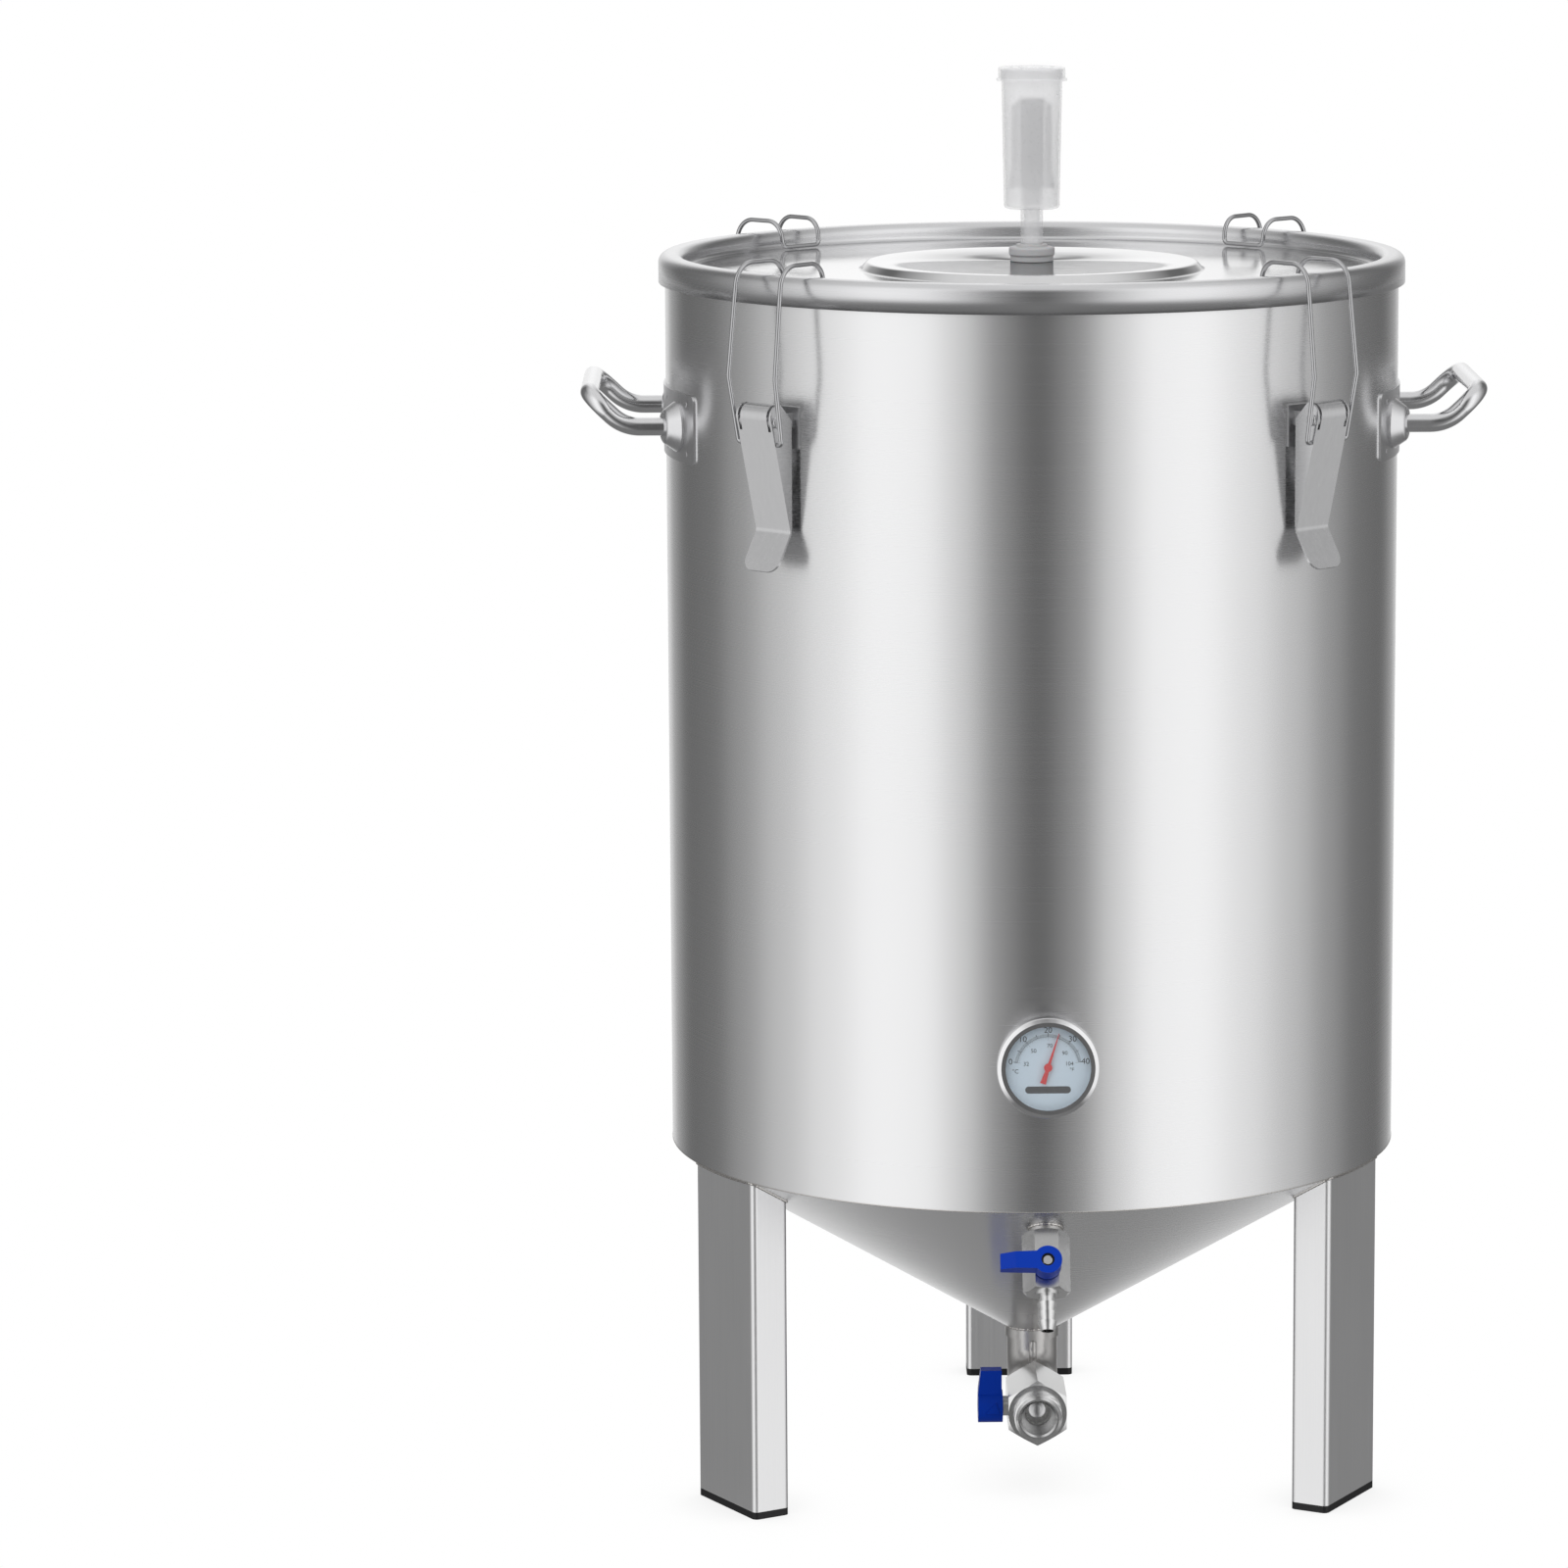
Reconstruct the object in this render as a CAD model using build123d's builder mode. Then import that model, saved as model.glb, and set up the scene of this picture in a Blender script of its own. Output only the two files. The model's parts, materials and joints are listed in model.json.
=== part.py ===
# Stainless conical fermenter: a clamped, recessed lid with a bubbler airlock, a barrel and cone on
# three legs, two loop handles, a dial thermometer, a racking valve and a dump valve.
# Millimetres. The origin is on the floor under the barrel's axis, +Z is up and -Y is the front.
import os
from math import cos, radians, sin, sqrt, tan

from build123d import *

os.makedirs("parts", exist_ok=True)

# Clearances shared by every fit
seat_gap = 0.3  # between parts that move apart or past each other
running_gap = 0.05  # radial, round a shaft that turns in its hole
fit_gap = 0.1  # radial, round a part that is pushed in and stays

# Barrel and cone
barrel_radius = 200.0
sheet = 1.2
barrel_bottom = 187.4
barrel_height = 484.1
cone_angle = 31.0
outlet_radius = 15.0

# Lid: one pressed sheet with a channel over the barrel's edge and a recessed pan
lid_sheet = 1.0
skirt_gap = 2.5
skirt_depth = 15.5
channel_width = 13.5
gasket_web = 5.2
pan_depth = 9.5
disc_radius = 90.0
disc_height = 4.2
disc_slope = 4.0
rim_bend = 2.5
rim_roll = 5.0
gasket_crown = 4.5
bung_hole = 10.0

# Silicone bung and three-piece airlock
bung_radius = 12.5
bung_height = 9.3
bung_plug = 10.0
stem_radius = 6.1
stem_bore = 4.3
stem_below_bung = 12.0
stem_above_bung = 19.3
cup_foot_radius = 15.2
cup_rim_radius = 16.7
cup_height = 75.2
airlock_wall = 1.1
bell_radius = 11.2
bell_tip_margin = 0.3  # the bell's tip outside the riser's radius
bell_skirt_radius = 13.0
bell_skirt_height = 12.0
bell_height = 50.0
bell_clearance = 10.7
cap_height = 7.5
cap_wall = 1.3
cap_lip = 1.0
cap_vents = 6
cap_vent_radius = 1.0

# Over-centre wire clamps
clamp_angles = {"front_right": 44.0, "rear_right": 136.0, "rear_left": 224.0, "front_left": 316.0}
clamp_width = 25.0
clamp_sheet = 1.2
clamp_pivot_out = 14.5  # pivot's distance outside the barrel
clamp_pivot_drop = 75.0  # pivot's distance below the rim
clamp_pin_radius = 2.0
clamp_head_radius = 3.2
clamp_head = 1.1
clamp_ear_radius = 3.8
clamp_base_above = 7.0  # above and below the pivot
clamp_base_below = 15.0
clamp_base_margin = 2.5
clamp_head_round = 0.5
lever_length = 59.0
lever_tip_length = 20.0
lever_tip_reach = 11.5
lever_depth = 17.6
lever_rise = 9.0
lever_roll = 6.5
lever_roll_back = 3.0
lever_stand_off = 2.0
lever_slot_drop = 5.0
lever_tip_corner = 7.0
curl_half_width = 9.5
bail_wire = 1.25
bail_hook = 0.7  # how far each end reaches inside its flange
bail_pivot_back = 0.5
bail_pivot_drop = 12.0
bail_knee_out = 20.0
bail_knee_rise = 23.0
bail_reach_out = 13.6
bail_over_rim = 6.5
bail_arch = 31.6
bail_pan_inset = 10.0
bail_lift = 0.5
bail_bends = [2, 6, 12, 10, 3]

# Handles
handle_drop = 82.5  # below the barrel's top edge
handle_spacing = 111.0
handle_tube_radius = 5.0
handle_reach_out = 40.5  # the bar's two distances outside the barrel
handle_straight_out = 22.0
handle_root = 20.0
handle_rise = 17.5
handle_plate_height = 37.0
handle_plate_half_angle = 23.6
handle_plate_corner = 4.0
rosette_radius = 13.5
rosette_top_radius = 8.5
rosette_height = 8.0
rosette_edge = 1.0
rosette_sunk = 2.0
rosette_round = 3.0

# Legs
leg_angles = {"right": 60.0, "rear": 180.0, "left": 300.0}
leg_width = 62.0
leg_depth = 22.0
leg_wall = 1.5
leg_corner = 3.0
leg_inset = 2.4  # the outer face's distance inside the barrel's radius
foot_height = 4.0
foot_plug = 14.0

# Dial thermometer
thermometer_rise = 80.3  # above the barrel's bottom edge
dial_case_radius = 27.0
dial_case_depth = 8.8
bezel_width = 4.6
bezel_fall = 1.2
bezel_round = 0.8
case_wall = 1.0
bezel_sheet = 0.95
bezel_depth = 5.1
dial_side = 0.8  # the case's wall beside the dial
dial_thickness = 0.6
dial_ledge = 3.2
dial_from_back = 3.6
pointer_lift = 1.2
pointer_thickness = 0.5
pointer_length = 19.0
pointer_tail = 9.0
pointer_angle = 17.6
pointer_hub = 2.2
pointer_root = 0.8
pointer_tip = 0.2
pointer_end = 1.6
glass_thickness = 1.2
glass_from_front = 1.0
thread_radius = 6.0
thread_length = 15.0
washer_radius = 11.5
washer_thickness = 1.8
standoff = 2.0
nut_across = 19.0
nut_thickness = 5.0
probe_radius = 3.0
probe_bore = 2.4
probe_length = 68.0
spindle_radius = 0.8

# Racking valve, square to the cone
racking_inset = 24.0  # the socket's distance inside the barrel's radius
racking_socket_radius = 9.0
racking_socket_height = 3.0
racking_across = 22.0
racking_length = 33.0
racking_ball_place = 0.64  # ball's place along the body
racking_bore = 3.5
racking_ball = 6.0
racking_stem = 2.0
racking_boss_radius = 5.0
racking_boss = 0.8
racking_seat = 2.0
racking_lever_thickness = 11.5
racking_lever_hub = 7.5
racking_lever_arm = 25.0
racking_lever_undercut = 2.5
racking_lever_slope = 3.5
barb_radius = 4.2
barb_ridge = 0.9
barb_tip_taper = 0.6
barb_length = 20.5
barb_bore = 3.0
barb_count = 3

# Dump elbow and dump valve
socket_height = 6.0
socket_wall = 3.0
elbow_radius = 14.0
elbow_bore = 9.25
elbow_bend = 19.5
elbow_run = 15.5
elbow_drop = 5.2
dump_across = 32.0
dump_length = 45.0
dump_ball = 12.2
dump_port = 7.0
dump_stem = 3.0
dump_boss_radius = 5.5
dump_boss = 2.5
dump_seat = 1.8
dump_insert = 4.0
dump_lever_thickness = 13.5
dump_lever_hub = 9.0
dump_lever_arm = 21.0
dump_lever_undercut = 0.5
dump_lever_slope = 1.5
outlet_thread_radius = 13.2
outlet_thread_length = 12.0
outlet_bore = 9.25
outlet_chamfer = 2.0

# Valve levers
lever_arm_width = 10.0
lever_tip_width = 8.6
lever_tip_side = 1.0
screw_radius = 2.4
screw_space = 1.1
screw_slot = 0.9
screw_slot_angle = 35.0
screw_head = 2.4
screw_recess = 3.6
screw_shank = 4.0

# Heights and radii that follow from the sizes above
barrel_top = barrel_bottom + barrel_height
gasket_top = barrel_top + seat_gap + gasket_web
rim_top = gasket_top + lid_sheet
lid_radius = barrel_radius + skirt_gap + lid_sheet
pan_radius = lid_radius - channel_width
pan_top = rim_top - pan_depth
disc_top = pan_top + disc_height
bung_top = disc_top + bung_height
cup_floor = bung_top + stem_above_bung
cup_rim = cup_floor + cup_height
slope = tan(radians(cone_angle))
racking_radius = barrel_radius - racking_inset
leg_face = barrel_radius - leg_inset
handle_height = barrel_top - handle_drop
handle_reach = barrel_radius + handle_reach_out
handle_straight = barrel_radius + handle_straight_out
thermometer_height = barrel_bottom + thermometer_rise
bell_tip_radius = stem_radius + bell_tip_margin


def cone_height(radius):
    """Height of the cone's outer surface at a distance from the axis."""
    return barrel_bottom - (barrel_radius - radius) * slope


cone_tip = cone_height(outlet_radius)
socket_bottom = cone_tip - socket_height
centred = (Align.CENTER, Align.CENTER, Align.MIN)


def outward(angle):
    """Horizontal direction away from the axis, turned from the front towards the right."""
    return Vector(sin(radians(angle)), -cos(radians(angle)), 0)


def section_plane(angle):
    """Upright plane through the axis: local x runs outward and local y runs up."""
    away = outward(angle)
    return Plane((0, 0, 0), x_dir=away, z_dir=away.cross(Vector(0, 0, 1)))


def turning_plane(plane):
    """Plane that holds another plane's normal: local x is a radius, local y the distance along it."""
    return Plane(plane.origin, x_dir=plane.x_dir, z_dir=-plane.y_dir)


def save(builder, name):
    builder.part.label = name
    export_step(builder.part, f"parts/{name}.step")


# ---- Barrel and cone ----
dial_plane = Plane((0, -barrel_radius, thermometer_height), x_dir=(1, 0, 0), z_dir=(0, -1, 0))

with BuildPart() as barrel:
    with BuildSketch(Plane.XY.offset(barrel_bottom)):
        Circle(barrel_radius)
        Circle(barrel_radius - sheet, mode=Mode.SUBTRACT)
    extrude(amount=barrel_height)
    with BuildSketch(dial_plane):
        Circle(thread_radius + fit_gap)
    extrude(amount=-thread_length, mode=Mode.SUBTRACT)
save(barrel, "barrel")

cone_normal = Vector(0, -sin(radians(cone_angle)), -cos(radians(cone_angle)))
racking_point = Vector(0, -racking_radius, cone_height(racking_radius))
racking_plane = Plane(racking_point, x_dir=(1, 0, 0), z_dir=cone_normal)

with BuildPart() as cone:
    with BuildSketch(Plane.XZ):
        wall_run = sheet / sin(radians(cone_angle))
        Polygon(
            (barrel_radius, barrel_bottom),
            (barrel_radius - wall_run, barrel_bottom),
            (outlet_radius - wall_run, cone_tip),
            (outlet_radius, cone_tip),
            align=None,
        )
    revolve(axis=Axis.Z)
    with BuildSketch(racking_plane.offset(-4 * sheet)):
        Circle(racking_socket_radius - socket_wall)
    extrude(amount=8 * sheet, mode=Mode.SUBTRACT)
save(cone, "cone")


def above_cone():
    """Everything on the inner side of the cone's outer surface, to cut what is welded under it."""
    reach = barrel_radius * 1.5
    with BuildPart() as space:
        with BuildSketch(Plane.XZ):
            Polygon(
                (0, cone_height(0)),
                (reach, cone_height(reach)),
                (reach, barrel_top),
                (0, barrel_top),
                align=None,
            )
        revolve(axis=Axis.Z)
    return space.part


with BuildPart() as dump_socket:
    with BuildSketch(Plane.XY.offset(socket_bottom)):
        Circle(outlet_radius)
        Circle(outlet_radius - socket_wall, mode=Mode.SUBTRACT)
    extrude(amount=socket_height)
save(dump_socket, "dump_socket")

with BuildPart() as racking_socket:
    with BuildSketch(racking_plane.offset(-sheet)):
        Circle(racking_socket_radius)
        Circle(racking_socket_radius - socket_wall, mode=Mode.SUBTRACT)
    extrude(amount=sheet + racking_socket_height)
    add(above_cone(), mode=Mode.SUBTRACT)
save(racking_socket, "racking_socket")

# ---- Legs and feet ----
for side, angle in leg_angles.items():
    leg_plane = Plane((0, 0, 0), x_dir=outward(angle), z_dir=(0, 0, 1))
    leg_middle = leg_face - leg_depth / 2

    with BuildPart() as leg:
        with BuildSketch(leg_plane.offset(foot_height)):
            with Locations((leg_middle, 0)):
                RectangleRounded(leg_depth, leg_width, leg_corner)
                RectangleRounded(
                    leg_depth - 2 * leg_wall,
                    leg_width - 2 * leg_wall,
                    leg_corner - leg_wall,
                    mode=Mode.SUBTRACT,
                )
        extrude(amount=barrel_bottom)
        add(above_cone(), mode=Mode.SUBTRACT)
    save(leg, f"leg_{side}")

    with BuildPart() as foot:
        with BuildSketch(leg_plane):
            with Locations((leg_middle, 0)):
                RectangleRounded(leg_depth, leg_width, leg_corner)
        extrude(amount=foot_height)
        with BuildSketch(leg_plane.offset(foot_height)):
            with Locations((leg_middle, 0)):
                plug_inset = 2 * (leg_wall + fit_gap)
                RectangleRounded(
                    leg_depth - plug_inset, leg_width - plug_inset, leg_corner - leg_wall
                )
        extrude(amount=foot_plug)
    save(foot, f"foot_{side}")

# ---- Lid, gasket and bung ----
with BuildPart() as lid:
    with BuildSketch(Plane.XZ):
        with BuildLine():
            FilletPolyline(
                (lid_radius, rim_top - skirt_depth),
                (lid_radius, rim_top),
                (pan_radius, rim_top),
                (pan_radius, pan_top),
                (disc_radius + disc_slope, pan_top),
                (disc_radius, disc_top),
                (bung_hole, disc_top),
                radius=[rim_roll, rim_roll, rim_bend, rim_bend, rim_bend],
            )
            offset(amount=lid_sheet, side=Side.LEFT)
        make_face()
    revolve(axis=Axis.Z)
save(lid, "lid")

with BuildPart() as lid_gasket:
    with BuildSketch(Plane.XZ) as gasket_section:
        gasket_inner = pan_radius + lid_sheet + seat_gap
        gasket_outer = lid_radius - lid_sheet - seat_gap
        gasket_lip = barrel_top - gasket_web
        groove_inner = barrel_radius - sheet - seat_gap
        groove_outer = barrel_radius + seat_gap
        Polygon(
            (gasket_inner, gasket_lip),
            (groove_inner, gasket_lip),
            (groove_inner, barrel_top + seat_gap),
            (groove_outer, barrel_top + seat_gap),
            (groove_outer, gasket_lip),
            (gasket_outer, gasket_lip),
            (gasket_outer, gasket_top),
            (gasket_inner, gasket_top),
            align=None,
        )
        fillet(gasket_section.vertices().group_by(Axis.Y)[-1], radius=gasket_crown)
    revolve(axis=Axis.Z)
save(lid_gasket, "lid_gasket")

with BuildPart() as lid_bung:
    with BuildSketch(Plane.XZ) as bung_section:
        bore = stem_radius + running_gap
        neck = bung_hole - fit_gap
        Polygon(
            (bore, bung_top),
            (bung_radius, bung_top),
            (bung_radius, disc_top),
            (neck, disc_top),
            (neck, disc_top - lid_sheet),
            (bung_radius - 1, disc_top - lid_sheet),
            (neck, disc_top - bung_plug),
            (bore, disc_top - bung_plug),
            align=None,
        )
        fillet(bung_section.vertices().sort_by_distance((bung_radius, bung_top))[0], radius=3)
    revolve(axis=Axis.Z)
save(lid_bung, "lid_bung")

# ---- Airlock: cup with its stem and riser, floating bell and cap ----
riser_top = cup_floor + bell_clearance + bell_height - airlock_wall - 1.0

with BuildPart() as airlock_body:
    with BuildSketch(Plane.XZ) as cup_section:
        Polygon(
            (stem_bore, bung_top - bung_height - stem_below_bung),
            (stem_radius, bung_top - bung_height - stem_below_bung),
            (stem_radius, cup_floor),
            (cup_foot_radius, cup_floor),
            (cup_rim_radius, cup_rim),
            (cup_rim_radius - airlock_wall, cup_rim),
            (cup_foot_radius - airlock_wall, cup_floor + airlock_wall),
            (stem_radius, cup_floor + airlock_wall),
            (stem_radius, riser_top),
            (stem_bore, riser_top),
            align=None,
        )
        fillet(cup_section.vertices().sort_by_distance((cup_foot_radius, cup_floor))[0], radius=2)
        inner_corner = (cup_foot_radius - airlock_wall, cup_floor + airlock_wall)
        fillet(cup_section.vertices().sort_by_distance(inner_corner)[0], radius=1)
    revolve(axis=Axis.Z)
save(airlock_body, "airlock_body")

with BuildPart() as airlock_bell:
    with BuildSketch(Plane.XZ):
        bell_bottom = cup_floor + bell_clearance
        bell_shoulder = bell_bottom + bell_height - (bell_radius - bell_tip_radius)
        bell_top = bell_bottom + bell_height
        skirt_top = bell_bottom + bell_skirt_height
        Polygon(
            (bell_skirt_radius, bell_bottom),
            (bell_radius, skirt_top),
            (bell_radius, bell_shoulder),
            (bell_tip_radius, bell_top),
            (0, bell_top),
            (0, bell_top - airlock_wall),
            (bell_tip_radius - airlock_wall / 2, bell_top - airlock_wall),
            (bell_radius - airlock_wall, bell_shoulder - airlock_wall / 2),
            (bell_radius - airlock_wall, skirt_top),
            (bell_skirt_radius - airlock_wall, bell_bottom),
            align=None,
        )
    revolve(axis=Axis.Z)
save(airlock_bell, "airlock_bell")

with BuildPart() as airlock_cap:
    with BuildSketch(Plane.XZ) as cap_section:
        cap_inner = cup_rim_radius + seat_gap
        cap_outer = cap_inner + cap_wall
        cap_top = cup_rim + seat_gap + cap_wall
        cap_bottom = cap_top - cap_height
        Polygon(
            (0, cap_top),
            (cap_outer, cap_top),
            (cap_outer, cap_bottom + cap_wall),
            (cap_outer + cap_lip, cap_bottom + cap_wall),
            (cap_outer + cap_lip, cap_bottom),
            (cap_inner, cap_bottom),
            (cap_inner, cap_top - cap_wall),
            (0, cap_top - cap_wall),
            align=None,
        )
        fillet(cap_section.vertices().sort_by_distance((cap_outer, cap_top))[0], radius=1)
    revolve(axis=Axis.Z)
    with Locations(Plane.XY.offset(cap_top)):
        with PolarLocations(bell_radius, cap_vents):
            Hole(cap_vent_radius, depth=cap_wall)
save(airlock_cap, "airlock_cap")

# ---- Over-centre clamps ----
pivot_radius = barrel_radius + clamp_pivot_out
pivot_height = rim_top - clamp_pivot_drop
bail_pivot = (pivot_radius - bail_pivot_back, pivot_height - bail_pivot_drop)
half_width = clamp_width / 2
flange_inner = half_width - clamp_sheet
ear_outer = flange_inner - seat_gap
ear_inner = ear_outer - clamp_sheet
bail_end = flange_inner - bail_hook
base_outer = barrel_radius + clamp_sheet
base_top = pivot_height + clamp_base_above
base_bottom = pivot_height - clamp_base_below
base_half_width = half_width + clamp_base_margin
lever_back = base_outer + lever_stand_off
lever_top = pivot_height + lever_rise
kink_height = pivot_height - lever_length
lever_front = lever_back + lever_depth


def clamp_base(angle):
    """Plate curved to the barrel, with two ears that carry the lever's pin."""
    side = section_plane(angle)
    middle = outward(angle) * barrel_radius
    with BuildPart() as base:
        with BuildSketch(Plane.XY.offset(base_bottom)):
            Circle(base_outer)
            with Locations((middle.X, middle.Y)):
                Rectangle(
                    barrel_radius, 2 * base_half_width, rotation=angle - 90, mode=Mode.INTERSECT
                )
        extrude(amount=base_top - base_bottom)
        for ear_side in (side.offset(ear_inner), side.offset(-ear_outer)):
            with BuildSketch(ear_side):
                with Locations((pivot_radius, pivot_height)):
                    Circle(clamp_ear_radius)
                with Locations((pivot_radius, pivot_height)):
                    Rectangle(
                        clamp_pivot_out + clamp_sheet,
                        2 * clamp_ear_radius,
                        align=(Align.MAX, Align.CENTER),
                    )
                with Locations((pivot_radius, pivot_height)):
                    Circle(clamp_pin_radius + running_gap, mode=Mode.SUBTRACT)
            extrude(amount=clamp_sheet)
        with BuildSketch(Plane.XY):
            Circle(barrel_radius)
        extrude(amount=rim_top, mode=Mode.SUBTRACT)
    return base


def clamp_lever(angle):
    """Channel-shaped lever: rolled top, tapered flanges and a finger tip bent away from the barrel."""
    side = section_plane(angle)
    kink = (lever_back + clamp_sheet, kink_height)
    crown = (lever_front, lever_top)
    roll_end = (pivot_radius - lever_roll_back, lever_top)
    with BuildPart() as lever:
        with BuildSketch(side):
            with BuildLine():
                FilletPolyline(kink, crown, roll_end, radius=lever_roll)
                Polyline(roll_end, (lever_back, pivot_height), (lever_back, kink_height + 2), kink)
            make_face()
        extrude(amount=half_width, both=True)
        with BuildSketch(side):
            Rectangle(2 * lever_front, 2 * lever_top)
        extrude(amount=flange_inner, both=True, mode=Mode.SUBTRACT)
        with BuildSketch(side):
            with BuildLine():
                FilletPolyline(
                    (kink[0] + lever_tip_reach, kink_height - lever_tip_length),
                    kink,
                    crown,
                    roll_end,
                    radius=[3, lever_roll],
                )
                offset(amount=clamp_sheet, side=Side.LEFT)
            make_face()
        extrude(amount=half_width, both=True)
        for slot_side in (side.offset(curl_half_width), side.offset(-flange_inner)):
            with BuildSketch(slot_side):
                with Locations((lever_back, pivot_height - lever_slot_drop)):
                    Rectangle(2 * lever_depth, 2 * lever_rise, align=(Align.MIN, Align.MIN))
            extrude(amount=flange_inner - curl_half_width, mode=Mode.SUBTRACT)
        with BuildSketch(side):
            with Locations((pivot_radius, pivot_height)):
                Circle(clamp_pin_radius + running_gap)
        extrude(amount=half_width, both=True, mode=Mode.SUBTRACT)
        for hole_side in (side.offset(bail_end - seat_gap), side.offset(-half_width)):
            with BuildSketch(hole_side):
                with Locations(bail_pivot):
                    Circle(bail_wire + running_gap)
            extrude(amount=half_width - bail_end + seat_gap, mode=Mode.SUBTRACT)
        tip_corners = lever.edges().filter_by(
            lambda edge: edge.center().Z < kink_height - 0.9 * lever_tip_length
            and abs(edge.length - clamp_sheet) < 0.01
        )
        fillet(tip_corners, radius=lever_tip_corner)
    return lever


def clamp_pin(angle):
    """Rivet through both ears and both flanges, with a head outside each flange."""
    side = section_plane(angle)
    with BuildPart() as pin:
        with BuildSketch(side):
            with Locations((pivot_radius, pivot_height)):
                Circle(clamp_pin_radius)
        extrude(amount=half_width + running_gap, both=True)
        for head_side, direction in ((half_width + running_gap, 1), (-half_width - running_gap, -1)):
            with BuildSketch(side.offset(head_side)):
                with Locations((pivot_radius, pivot_height)):
                    Circle(clamp_head_radius)
            extrude(amount=direction * clamp_head)
            outer_face = pin.faces().sort_by(Axis((0, 0, 0), side.z_dir * direction))[-1]
            fillet(outer_face.edges(), clamp_head_round)
    return pin


def clamp_bail(angle):
    """Bent wire: hooked into both flanges, over the rim, with its crossbar on the lid's pan."""
    away = outward(angle)
    across = section_plane(angle).z_dir
    leg_side = half_width + clamp_head + 2 * seat_gap + bail_wire
    rim_reach = barrel_radius + bail_reach_out
    bar_radius = pan_radius - bail_pan_inset
    arch_top = rim_top + bail_over_rim
    route = [
        (bail_pivot[0], bail_end, bail_pivot[1]),
        (bail_pivot[0], leg_side, bail_pivot[1]),
        (barrel_radius + bail_knee_out, leg_side + 1.5, pivot_height + bail_knee_rise),
        (rim_reach, leg_side + 0.5, arch_top),
        (rim_reach - bail_arch, leg_side - 0.8, arch_top),
        (bar_radius, leg_side - 1.4, pan_top + bail_lift + bail_wire),
    ]
    mirrored = [(out, -sideways, height) for out, sideways, height in reversed(route)]
    points = [away * out + across * sideways + Vector(0, 0, height) for out, sideways, height in
              route + mirrored]
    with BuildPart() as bail:
        with BuildLine() as wire:
            FilletPolyline(*points, radius=bail_bends + bail_bends[::-1])
        with BuildSketch(wire.line ^ 0):
            Circle(bail_wire)
        sweep()
    return bail


pins = []
for corner, angle in clamp_angles.items():
    save(clamp_base(angle), f"clamp_base_{corner}")
    save(clamp_lever(angle), f"clamp_lever_{corner}")
    save(clamp_bail(angle), f"clamp_bail_{corner}")
    pins.append(clamp_pin(angle).part)

with BuildPart() as clamp_pins:
    add(pins)
save(clamp_pins, "clamp_pins")

# ---- Handles ----
plate_outer = barrel_radius + sheet
plate_half_width = plate_outer * sin(radians(handle_plate_half_angle))
leg_half = handle_spacing / 2

for side, sign in {"right": 1, "left": -1}.items():
    with BuildPart() as handle_plate:
        with BuildSketch(Plane.XY.offset(handle_height - handle_plate_height / 2)):
            Circle(plate_outer)
            Circle(barrel_radius, mode=Mode.SUBTRACT)
        extrude(amount=handle_plate_height)
        with BuildSketch(Plane.YZ):
            with Locations((0, handle_height)):
                RectangleRounded(2 * plate_half_width, handle_plate_height, handle_plate_corner)
        extrude(amount=sign * handle_reach, mode=Mode.INTERSECT)
    save(handle_plate, f"handle_plate_{side}")

    with BuildPart() as handle_loop:
        with BuildLine() as bar:
            FilletPolyline(
                (sign * (barrel_radius - handle_root), -leg_half, handle_height),
                (sign * handle_straight, -leg_half, handle_height),
                (sign * handle_reach, -leg_half, handle_height + handle_rise),
                (sign * handle_reach, leg_half, handle_height + handle_rise),
                (sign * handle_straight, leg_half, handle_height),
                (sign * (barrel_radius - handle_root), leg_half, handle_height),
                radius=[22, 13, 13, 22],
            )
        with BuildSketch(bar.line ^ 0):
            Circle(handle_tube_radius)
        sweep()
        with BuildSketch(Plane.XY.offset(handle_height - handle_plate_height)):
            Circle(plate_outer)
        extrude(amount=2 * handle_plate_height, mode=Mode.SUBTRACT)
    save(handle_loop, f"handle_loop_{side}")

    with BuildPart() as handle_rosettes:
        foot_x = sqrt(plate_outer**2 - leg_half**2)
        for leg_y in (-leg_half, leg_half):
            normal = Vector(sign * foot_x, leg_y, 0).normalized()
            face = Plane((sign * foot_x, leg_y, handle_height), x_dir=(0, 0, 1), z_dir=normal)
            with BuildSketch(turning_plane(face)) as dome_section:
                Polygon(
                    (0, -rosette_sunk),
                    (rosette_radius, -rosette_sunk),
                    (rosette_radius, rosette_edge),
                    (rosette_top_radius, rosette_height),
                    (0, rosette_height),
                    align=None,
                )
                fillet(
                    dome_section.vertices().sort_by_distance((rosette_top_radius, rosette_height))[0],
                    radius=rosette_round,
                )
            revolve(axis=Axis(face.origin, face.z_dir))
        with BuildSketch(Plane.XY.offset(handle_height - handle_plate_height)):
            Circle(plate_outer)
        extrude(amount=2 * handle_plate_height, mode=Mode.SUBTRACT)
        with BuildSketch(Plane.YZ):
            with Locations((-leg_half, handle_height), (leg_half, handle_height)):
                Circle(handle_tube_radius + running_gap)
        extrude(amount=sign * handle_reach, mode=Mode.SUBTRACT)
    save(handle_rosettes, f"handle_rosettes_{side}")

# ---- Thermometer: distances run outwards from the barrel's front ----
case_back = washer_thickness + standoff
case_inside = case_back + case_wall
dial_seat = case_back + dial_from_back
bezel_front = case_back + dial_case_depth
glass_top = bezel_front - glass_from_front
case_rim = glass_top - glass_thickness
case_outer = dial_case_radius - bezel_sheet - running_gap
spindle_bore = spindle_radius + seat_gap
dial_radius = case_outer - dial_side
dial_axis = Axis(dial_plane.origin, dial_plane.z_dir)

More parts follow.
